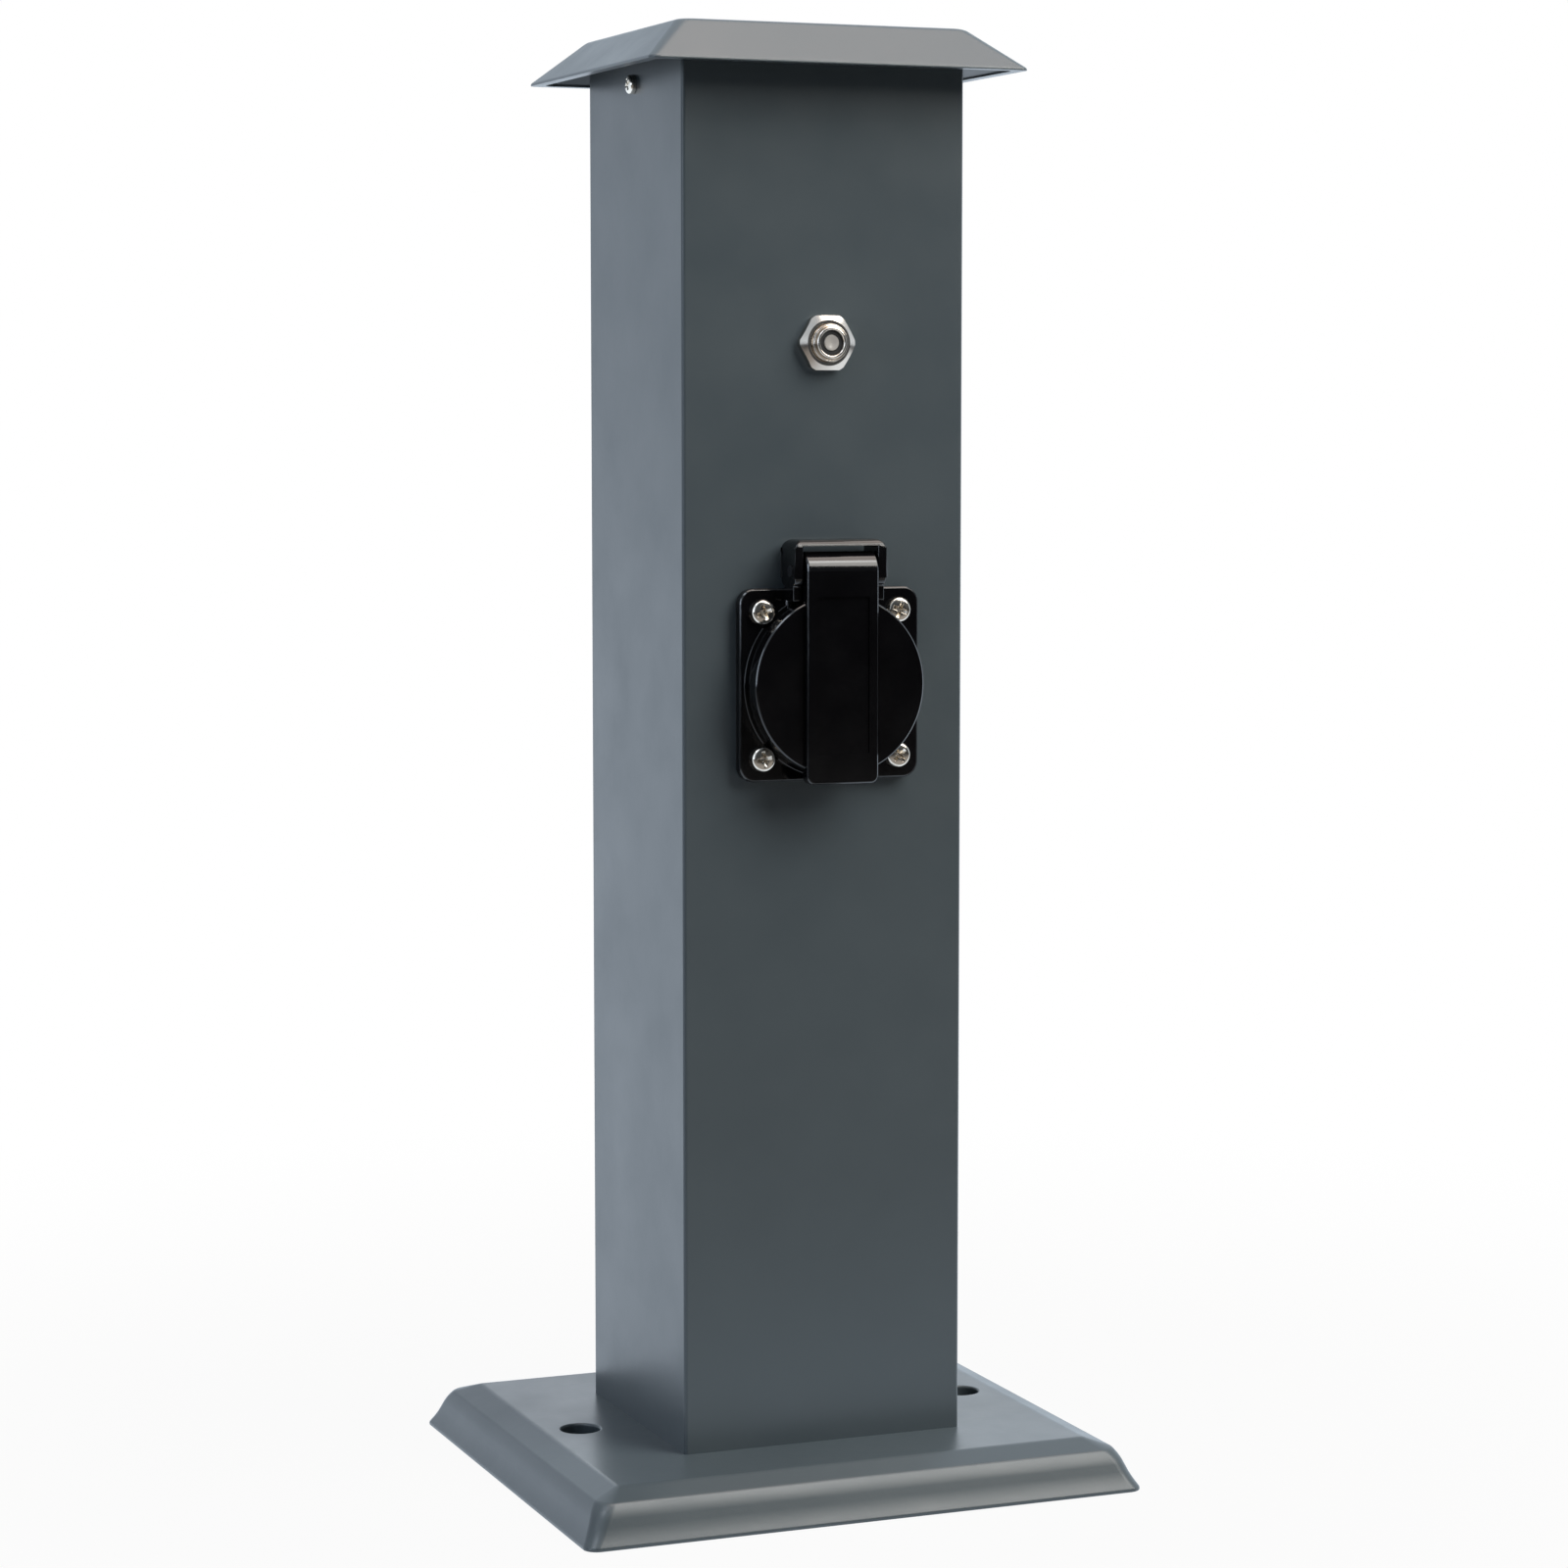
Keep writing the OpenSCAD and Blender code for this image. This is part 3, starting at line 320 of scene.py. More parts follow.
# Polycarbonate of the reset button: grey with a glassy skin
GREY_POLYCARBONATE = Finish("polycarbonate_moulded_gloss", "button_grey", "#ADABA8", "#B9B7B3", 0.12,
                            ior=1.58, grain_mm=0.8, relief_mm=0.01, cloud_mm=2)
# Soft PVC, extruded over strands: coloured, with a dull sheen and a faint draw along the wire
PVC_BROWN = Finish("pvc_extruded_brown", "brown_insulation", "#5A3620", "#633D26", 0.42, grain_mm=0.4)
PVC_BLUE = Finish("pvc_extruded_blue", "blue_insulation", "#2C5BA6", "#3363AE", 0.42, grain_mm=0.4)
PVC_GREEN = Finish("pvc_extruded_green", "green_insulation", "#3E8A35", "#47923D", 0.42, grain_mm=0.4)
PVC_YELLOW = Finish("pvc_extruded_yellow", "green_insulation", "#D9C22B", "#E0CA3A", 0.42, grain_mm=0.4)


@dataclass(frozen=True)
class Extent:
    """The box of a CAD node at rest, in millimetres."""

    low: Vector
    high: Vector

    @classmethod
    def of(cls, node: str) -> Extent:
        """Read the box of a node from the frame.

        Args:
            node: name of the CAD node.
        Returns:
            Its box.
        """
        low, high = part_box(node)
        return cls(Vector(low) / MM, Vector(high) / MM)

    @property
    def mid(self) -> Vector:
        """Centre of the box."""
        return (self.low + self.high) / 2

    @property
    def half(self) -> Vector:
        """Half of the box's size each way."""
        return (self.high - self.low) / 2


def socket_middle() -> float:
    """Height of the socket's middle."""
    return Extent.of("socket_screws").mid.z


def base_screw_spots() -> list[Matrix]:
    """Places of the four screws that hold the post to the foot."""
    reach = Extent.of("base_screws").half - Vector((BASE_HEAD_R, BASE_HEAD_R, 0))
    return [Matrix.Translation((sx * reach.x, sy * reach.y, 0)) for sx in (-1, 1) for sy in (-1, 1)]


# Rows of points that the meshes are made from


def soft_line(corners: Sequence[tuple[float, float, float]], steps: int = ROUNDING_STEPS) -> list[Vector]:
    """Round the corners of an open line.

    Args:
        corners: two coordinates of each corner, and how far from it along its sides the rounding starts.
        steps: number of stretches in each rounding.
    Returns:
        The points of the line.
    """
    line: list[Vector] = []
    for i, (across, up, reach) in enumerate(corners):
        here = Vector((across, up))
        if reach == 0:
            line.append(here)
            continue
        start = here + reach * (Vector(corners[i - 1][:2]) - here).normalized()
        stop = here + reach * (Vector(corners[i + 1][:2]) - here).normalized()
        for k in range(steps + 1):
            t = k / steps
            line.append((1 - t) ** 2 * start + 2 * t * (1 - t) * here + t * t * stop)
    return line


def rounded_ring(half_w: float, half_d: float, radius: float, z: float) -> list[Vector]:
    """Points of a level rectangle with round corners.

    Args:
        half_w: half of its width, along X.
        half_d: half of its depth, along Y.
        radius: radius of its corners.
        z: its height.
    Returns:
        The points, anticlockwise from above.
    """
    ring: list[Vector] = []
    for quarter, (sx, sy) in enumerate(((1, 1), (-1, 1), (-1, -1), (1, -1))):
        for k in range(CORNER_STEPS + 1):
            angle = math.radians(90 * (quarter + k / CORNER_STEPS))
            ring.append(Vector((sx * (half_w - radius) + radius * math.cos(angle),
                                sy * (half_d - radius) + radius * math.sin(angle), z)))
    return ring


def round_ring(radius: float, z: float, steps: int = TURN_STEPS) -> list[Vector]:
    """Points of a level circle about the Z axis."""
    turn = 2 * math.pi / steps
    return [Vector((radius * math.cos(k * turn), radius * math.sin(k * turn), z)) for k in range(steps)]


def cross_ring(arm: float, width: float, z: float) -> list[Vector]:
    """Points of a level cross with four equal arms.

    Args:
        arm: length of an arm from the middle.
        width: width of an arm.
        z: its height.
    Returns:
        The points, anticlockwise from above.
    """
    w = width / 2
    one_arm = [(arm, -w), (arm, w), (w, w)]
    ring: list[Vector] = []
    for turn in range(4):
        spin = Matrix.Rotation(math.radians(90 * turn), 2)
        ring.extend((spin @ Vector(point)).to_3d() + Vector((0, 0, z)) for point in one_arm)
    return ring


# Meshes, built in millimetres


def loft(rings: Sequence[Sequence[Vector]], closed: bool = False) -> bmesh.types.BMesh:
    """Skin a row of rings that have the same number of points.

    Args:
        rings: the rings, in order.
        closed: whether the last ring joins the first, or both ends are closed with a face.
    Returns:
        A closed mesh.
    """
    mesh = bmesh.new()
    rows = [[mesh.verts.new(point) for point in ring] for ring in rings]
    count = len(rows[0])
    after = rows[1:] + rows[:1] if closed else rows[1:]
    for row, other in zip(rows, after):
        for k in range(count):
            n = (k + 1) % count
            mesh.faces.new((row[k], row[n], other[n], other[k]))
    if not closed:
        mesh.faces.new(rows[0])
        mesh.faces.new(rows[-1])
    bmesh.ops.recalc_face_normals(mesh, faces=mesh.faces)
    if mesh.calc_volume(signed=True) < 0:
        bmesh.ops.reverse_faces(mesh, faces=mesh.faces)
    return mesh


def lathe(profile: Iterable[Vector], steps: int = TURN_STEPS) -> bmesh.types.BMesh:
    """Turn a line of radius and height about the Z axis into a closed solid.

    Args:
        profile: the line, from one end of the solid to the other, or back to its start for a ring.
        steps: number of stretches round the axis.
    Returns:
        A closed mesh.
    """
    line = list(profile)
    closed = (line[0] - line[-1]).length < SAME_POINT
    rings = [round_ring(max(p.x, AXIS_R), p.y, steps) for p in line]
    return loft(rings[:-1] if closed else rings, closed)


def sweep(path: Sequence[Vector], radius: float, sides: int) -> bmesh.types.BMesh:
    """Sweep a circle along a path without twisting it.

    Args:
        path: points of the path.
        radius: radius of the tube.
        sides: number of stretches round the tube.
    Returns:
        A closed mesh whose side faces come first, ring by ring.
    """
    last = len(path) - 1
    tangents = [(path[min(i + 1, last)] - path[max(i - 1, 0)]).normalized() for i in range(last + 1)]
    beside = tangents[0].orthogonal().normalized()
    rings = []
    for point, tangent in zip(path, tangents):
        beside = (beside - beside.dot(tangent) * tangent).normalized()
        other = tangent.cross(beside)
        rings.append([point + radius * (math.cos(a) * beside + math.sin(a) * other)
                      for a in (2 * math.pi * k / sides for k in range(sides))])
    return loft(rings)


def box(low: Vector, high: Vector) -> bmesh.types.BMesh:
    """A plain block between two corners.

    Args:
        low: its lowest corner.
        high: its highest corner.
    Returns:
        A closed mesh.
    """
    mid = (low + high) / 2
    half = (high - low) / 2
    flat = [Vector((mid.x + sx * half.x, mid.y + sy * half.y, 0))
            for sx, sy in ((1, 1), (-1, 1), (-1, -1), (1, -1))]
    return loft([[p + Vector((0, 0, low.z)) for p in flat], [p + Vector((0, 0, high.z)) for p in flat]])


def rod(radius: float, low: float, high: float, steps: int = TURN_STEPS) -> bmesh.types.BMesh:
    """A plain round bar about the Z axis, for bores and bosses."""
    return lathe([Vector((0, low)), Vector((radius, low)), Vector((radius, high)), Vector((0, high))], steps)


def slab(half_w: float, half_d: float, radius: float, low: float, high: float,
         edge: float) -> bmesh.types.BMesh:
    """A plate with round corners, whose upper edges are bevelled.

    Args:
        half_w: half of its width, along X.
        half_d: half of its depth, along Y.
        radius: radius of its corners.
        low: height of its underside.
        high: height of its top.
        edge: width of the bevel.
    Returns:
        A closed mesh.
    """
    soft = BEVEL_SOFT * edge
    section = soft_line([(2 * edge, low, 0), (0, low, soft), (0, high - edge, soft), (edge, high, soft),
                         (2 * edge, high, 0)])
    return loft([rounded_ring(half_w - p.x, half_d - p.x, max(radius - p.x, LEAST_CORNER_R), p.y)
                 for p in section])


def placed(mesh: bmesh.types.BMesh, place: Matrix) -> bmesh.types.BMesh:
    """Move a mesh that is still being built, and return it."""
    bmesh.ops.transform(mesh, matrix=place, verts=mesh.verts)
    return mesh


def joined(meshes: Iterable[bmesh.types.BMesh]) -> bmesh.types.BMesh:
    """Put several meshes into one.

    Args:
        meshes: the meshes, which are used up.
    Returns:
        One mesh that holds them all.
    """
    whole = bmesh.new()
    for mesh in meshes:
        part = bpy.data.meshes.new("part")
        mesh.to_mesh(part)
        mesh.free()
        whole.from_mesh(part)
        bpy.data.meshes.remove(part)
    return whole


def piece(name: str, mesh: bmesh.types.BMesh) -> bpy.types.Object:
    """Turn a mesh in millimetres into an object in metres.

    Args:
        name: name of the piece.
        mesh: the mesh, which is used up.
    Returns:
        The new object, in the scene.
    """
    placed(mesh, Matrix.Scale(MM, 4))
    data = bpy.data.meshes.new(name)
    mesh.to_mesh(data)
    mesh.free()
    made = bpy.data.objects.new(name, data)
    bpy.context.scene.collection.objects.link(made)
    return made


def settle(target: bpy.types.Object) -> None:
    """Keep what an object's modifiers show as its own mesh.

    Args:
        target: the object, whose modifiers are used up.
    """
    seen = target.evaluated_get(bpy.context.evaluated_depsgraph_get())
    result = bpy.data.meshes.new_from_object(seen)
    target.modifiers.clear()
    before = target.data
    target.data = result
    bpy.data.meshes.remove(before)
    result.name = target.name


def discard(made: bpy.types.Object) -> None:
    """Remove an object that was only a tool.

    Args:
        made: the object, which goes with its mesh.
    """
    data = made.data
    bpy.data.objects.remove(made)
    bpy.data.meshes.remove(data)


def combine(target: bpy.types.Object, tool_mesh: bmesh.types.BMesh, operation: Cut) -> None:
    """Cut a mesh from an object, add it, or keep what they share.

    Args:
        target: object that changes.
        tool_mesh: the other mesh, in millimetres, which is used up.
        operation: how they combine.
    """
    tool = piece("tool", tool_mesh)
    change = target.modifiers.new("change", "BOOLEAN")
    change.operation = operation.value
    change.solver = "EXACT"
    change.object = tool
    settle(target)
    discard(tool)


def round_edges(target: bpy.types.Object, width: float, over: float = 30.0, segments: int = 2) -> None:
    """Round the edges of a built piece.

    Args:
        target: the piece.
        width: width of the rounding, in millimetres.
        over: least angle between the faces of an edge that is rounded, in degrees.
        segments: number of faces across it.
    """
    edge = target.modifiers.new("edge", "BEVEL")
    edge.width = width * MM
    edge.segments = segments
    edge.limit_method = "ANGLE"
    edge.angle_limit = math.radians(over)
    edge.use_clamp_overlap = False
    settle(target)


def taken(made: bpy.types.Object) -> bmesh.types.BMesh:
    """Turn an object back into a mesh in millimetres.

    Args:
        made: the object, which is used up.
    Returns:
        Its mesh.
    """
    mesh = bmesh.new()
    mesh.from_mesh(made.data)
    discard(made)
    return placed(mesh, Matrix.Scale(1 / MM, 4))


def shade(target: bpy.types.Object, sharp_over: float = PLAIN_EDGE) -> None:
    """Shade a piece smoothly, with its edges kept.

    Args:
        target: the piece.
        sharp_over: turn between two faces, in degrees, above which their edge stays sharp.
    """
    target.data.polygons.foreach_set("use_smooth", [True] * len(target.data.polygons))
    target.data.set_sharp_from_angle(angle=math.radians(sharp_over))
    normals = target.modifiers.new("normals", "WEIGHTED_NORMAL")
    normals.keep_sharp = True


def dress(finishes: dict[str, Finish]) -> None:
    """Give CAD nodes that stay as they are their finishes.

    Args:
        finishes: the material of each CAD node, by the node's name.
    """
    for node, finish in finishes.items():
        bpy.data.objects[node].material_slots[0].material = finish.material()
        LOG.info("dressed %s in %s", node, finish.name)


def stand_in(made: bpy.types.Object, node: str, body: Body, finish: Finish,
             twist: tuple[Body, Vector, Vector] | None = None) -> None:
    """Let a new piece stand for a CAD node and move with its body, or stay where it is built when a twist is
    given.

    Args:
        made: the new piece.
        node: name of the CAD node that it stands for.
        body: the body that carries it.
        finish: its material.
        twist: the body at the far end and the two ends of the coil; only whether it is given is used.
    """
    if not made.data.materials:
        made.data.materials.append(finish.material())
    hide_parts(node)
    if twist is None:
        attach(made, body.value)
    else:
        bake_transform(made)
    LOG.info("built %s for %s in %s", made.name, node, finish.name)


def on_front(x: float, y_face: float, z: float) -> Matrix:
    """Placement of a shape drawn with x to the right, y up and z out of the post's front face.

    Args:
        x: place across the face.
        y_face: where the face lies along Y.
        z: height on the face.
    Returns:
        The matrix.
    """
    return Matrix.Translation((x, y_face, z)) @ Matrix.Rotation(math.radians(90), 4, "X")


def along_x(x: float, y: float, z: float) -> Matrix:
    """Placement of a shape drawn about the Z axis so that it lies along the X axis."""
    return Matrix.Translation((x, y, z)) @ Matrix.Rotation(math.radians(90), 4, "Y")


def move(made: bpy.types.Object, place: Matrix) -> None:
    """Move a built piece by a placement in millimetres."""
    made.data.transform(Matrix.Scale(MM, 4) @ place @ Matrix.Scale(1 / MM, 4))


@dataclass(frozen=True)
class CrossScrew:
    """A domed screw with a tapered cross recess, drawn along Z with the underside of its head at nought.

    The fields with a default are shares of the head's or the shank's size, apart from an angle in degrees.
    """

    head_r: float
    head_h: float
    shank_r: float
    shank_len: float
    tip: float = 0.3
    seat_soft: float = 0.06
    side_h: float = 0.86
    side_soft: float = 0.36
    crown_r: float = 0.6
    crown_soft: float = 0.2
    # Arm, width and height of the cross from its bottom to above the head
    recess: tuple[tuple[float, float, float], ...] = ((0.2, 0.12, 0.3), (0.66, 0.3, 1.0), (0.73, 0.34, 1.1))
    edge: float = 0.03
    edge_over: float = 50.0

    def mesh(self, turn: float) -> bmesh.types.BMesh:
        """Build the screw.

        Args:
            turn: angle of its cross recess, in degrees.
        Returns:
            A closed mesh in millimetres.
        """
        r = self.head_r
        h = self.head_h
        tip = self.tip * self.shank_r
        profile = soft_line([
            (0, -self.shank_len, 0), (self.shank_r - tip, -self.shank_len, 0),
            (self.shank_r, tip - self.shank_len, 0), (self.shank_r, 0, 0), (r, 0, self.seat_soft * r),
            (r, self.side_h * h, self.side_soft * h), (self.crown_r * r, h, self.crown_soft * r), (0, h, 0)])
        screw = piece("screw", lathe(profile, SMALL_TURN_STEPS))
        cross = loft([cross_ring(arm * r, width * r, height * h) for arm, width, height in self.recess])
        combine(screw, placed(cross, Matrix.Rotation(math.radians(turn), 4, "Z")), Cut.REMOVE)
        round_edges(screw, self.edge * r, self.edge_over)
        return taken(screw)


@dataclass
class Foot:
    """The stepped hollow foot, with the grommet and the screws that sit in it."""

    hole_spacing: float
    hole_r: float
    lip_h: float = 0.8
    lip_soft: float = 0.35
    rest_soft: float = 0.3
    shoulder_in: float = 5.2
    shoulder_drop: float = 2.4
    shoulder_soft: float = 0.6
    skirt_swell: float = 0.34
    swell_at: float = 0.24
    swell_soft: float = 1.5
    skirt_hollow: float = 0.2
    hollow_at: float = 0.72
    hollow_soft: float = 2.0
    skirt_t: float = 3.0
    skirt_soft: float = 0.4
    plate_t: float = 3.0
    plate_soft: float = 1.0
    plate_run: float = 2.0
    crease_in: float = 12.3
    crease_soft: float = 0.9
    crease_run: float = 3.0
    lip_corner_r: float = 3.6
    shoulder_corner_r: float = 4.8
    crease_corner_r: float = 1.0
    hole_edge: float = 0.7
    boss_wall: float = 3.4
    boss_lap: float = 0.5
    cable_hole_r: float = 11.0
    base_hole_r: float = 2.6
    bracket_head_r: float = 3.2
    bracket_hole_r: float = 1.75
    bracket_boss_wall: float = 2.0
    bracket_boss_h: float = 3.0
    drill_low: float = 3.0

    def edge(self, top: float) -> list[Vector]:
        """Section of the foot's edge, as inset and height.

        Args:
            top: height of the foot's flat top.
        Returns:
            Points from the plate's underside, down the inside of the skirt, and up its outside.
        """
        lip = Vector((0, self.lip_h))
        shoulder = Vector((self.shoulder_in, top - self.shoulder_drop))
        fall = lip - shoulder
        out = Vector((fall.y, -fall.x)).normalized()
        swell = shoulder + self.swell_at * fall + self.skirt_swell * out
        hollow = shoulder + self.hollow_at * fall - self.skirt_hollow * out
        plate = top - self.plate_t
        plate_in = self.shoulder_in + self.skirt_t
        return soft_line([
            (plate_in + self.plate_run, plate, 0), (plate_in, plate, self.plate_soft),
            (self.skirt_t, self.lip_h, self.skirt_soft), (self.skirt_t, 0, self.rest_soft),
            (0, 0, self.rest_soft), (lip.x, lip.y, self.lip_soft), (hollow.x, hollow.y, self.hollow_soft),
            (swell.x, swell.y, self.swell_soft), (shoulder.x, shoulder.y, self.shoulder_soft),
            (self.crease_in, top, self.crease_soft), (self.crease_in + self.crease_run, top, 0)],
            FINE_ROUNDING_STEPS)

    def build(self) -> None:
        """Build the foot with its bosses and holes."""
        extent = Extent.of("base_plate")
        half = extent.half
        top = extent.high.z
        plate = top - self.plate_t
        rings = [rounded_ring(half.x - p.x, half.y - p.x, self.corner(p.x), p.y) for p in self.edge(top)]
        foot = piece("foot_shell", loft(rings))
        combine(foot, joined(self.bosses(plate)), Cut.ADD)
        combine(foot, joined(self.holes(top)), Cut.REMOVE)
        shade(foot, SHELL_EDGE)
        stand_in(foot, "base_plate", Body.POST, POWDER_COAT)
        dress({"base_screws": ZINC_PLATE, "cable_grommet": RUBBER})

    def corner(self, inset: float) -> float:
        """Radius of the foot's corners, which grows from lip to shoulder and falls to the crease.

        Args:
            inset: distance in from the foot's outline.
        Returns:
            The radius there, seen from above.
        """
        if inset < self.shoulder_in:
            t = inset / self.shoulder_in
            return self.lip_corner_r + t * (self.shoulder_corner_r - self.lip_corner_r)
        t = min((inset - self.shoulder_in) / (self.crease_in - self.shoulder_in), 1.0)
        return self.shoulder_corner_r + t * (self.crease_corner_r - self.shoulder_corner_r)

    def floor_holes(self) -> list[Matrix]:
        """Places of the two floor holes."""
        return [Matrix.Translation((side * self.hole_spacing / 2, 0, 0)) for side in (-1, 1)]

    def bracket_holes(self) -> list[Matrix]:
        """Places of the terminal bracket's two screws.

        Returns:
            Their placements on the floor's level.
        """
        screws = Extent.of("bracket_screws")
        reach = screws.half.x - self.bracket_head_r
        return [Matrix.Translation((side * reach, screws.mid.y, 0)) for side in (-1, 1)]

    def bosses(self, plate: float) -> list[bmesh.types.BMesh]:
        """Round bosses under the plate.

        Args:
            plate: height of the plate's underside.
        Returns:
            Their meshes, sunk a little into the plate.
        """
        sunk = plate + self.boss_lap
        low = plate - self.bracket_boss_h
        r = self.bracket_hole_r + self.bracket_boss_wall
        return ([placed(rod(self.hole_r + self.boss_wall, 0, sunk), spot) for spot in self.floor_holes()]
                + [placed(rod(r, low, sunk, DRILL_STEPS), spot) for spot in self.bracket_holes()])

    def holes(self, top: float) -> list[bmesh.types.BMesh]:
        """Cutters for the floor holes, the cable and the screws.

        Args:
            top: height of the foot's flat top.
        Returns:
            Their meshes.
        """
        r = self.hole_r
        edge = self.hole_edge
        over = top + CUT_PAST
        quarter = [math.radians(90 * k / ROUNDING_STEPS) for k in range(ROUNDING_STEPS + 1)]
        round_edge = [Vector((r + edge * (1 - math.cos(a)), top - edge * (1 - math.sin(a)))) for a in quarter]
        floor = [Vector((0, -CUT_PAST)), Vector((r, -CUT_PAST)), *round_edge,
                 Vector((r + edge, over)), Vector((0, over))]
        grommet = Extent.of("cable_grommet").mid
        cable = Matrix.Translation((grommet.x, grommet.y, 0))
        drills = ((self.bracket_hole_r, DRILL_STEPS, self.bracket_holes()),
                  (self.cable_hole_r, TURN_STEPS, [cable]),
                  (self.base_hole_r, DRILL_STEPS, base_screw_spots()))
        cutters = [placed(lathe(floor), spot) for spot in self.floor_holes()]
        for radius, steps, spots in drills:
            cutters.extend(placed(rod(radius, self.drill_low, over, steps), spot) for spot in spots)
        return cutters


@dataclass
class Post:
    """The box section post, with screw ports in its corners and openings for what it carries."""

    corner_r: float = 1.0
    port_r: float = 4.2
    port_hole_r: float = 2.45
    socket_hole_r: float = 21.65
    flange_hole_r: float = 2.2
    neck_hole_r: float = 5.05
    cap_hole_r: float = 1.7

    def build(self) -> None:
        """Build the tube and cut its openings."""
        extent = Extent.of("post_tube")
        half = extent.half
        low = extent.low.z
        high = extent.high.z
        ends = [rounded_ring(half.x, half.y, self.corner_r, z) for z in (low, high)]
        post = piece("post_shell", loft(ends))
        x = half.x - POST_WALL
        y = half.y - POST_WALL
        past = CUT_PAST / 2
        hollow = piece("hollow", box(Vector((-x, -y, low - past)), Vector((x, y, high + past))))
        ports = base_screw_spots()
        low -= CUT_PAST
        high += CUT_PAST
        bars = [placed(rod(self.port_r, low, high, DRILL_STEPS), spot) for spot in ports]
        combine(hollow, joined(bars), Cut.REMOVE)
        combine(post, taken(hollow), Cut.REMOVE)
        drills = [placed(rod(self.port_hole_r, low, high, SMALL_DRILL_STEPS), spot) for spot in ports]
        combine(post, joined(drills + self.openings(extent)), Cut.REMOVE)
        shade(post)
        stand_in(post, "post_tube", Body.POST, POWDER_COAT)

    def openings(self, extent: Extent) -> list[bmesh.types.BMesh]:
        """Cutters through the post's walls for the socket, the breaker and the cap screws.

        Args:
            extent: the post's box.
        Returns:
            Their meshes.
        """
        deep = 2 * POST_WALL
        past = CUT_PAST / 2
        face = extent.low.y
        middle = socket_middle()
        cutters = [placed(rod(self.socket_hole_r, -deep, past, WIDE_TURN_STEPS), on_front(0, face, middle))]
        for sx in (-1, 1):
            for sz in (-1, 1):
                x = sx * FLANGE_SCREW_PITCH / 2
                z = middle + sz * FLANGE_SCREW_PITCH / 2
                cutters.append(placed(rod(self.flange_hole_r, -deep, past, SMALL_DRILL_STEPS),
                                      on_front(x, face, z)))
            cutters.append(placed(rod(self.cap_hole_r, -deep, deep, SMALL_DRILL_STEPS),
                                  along_x(sx * extent.half.x, 0, Extent.of("cap_screws").mid.z)))
        cutters.append(placed(rod(self.neck_hole_r, -deep, past, SMALL_TURN_STEPS),
                              on_front(0, face, Extent.of("breaker_neck").mid.z)))
        return cutters


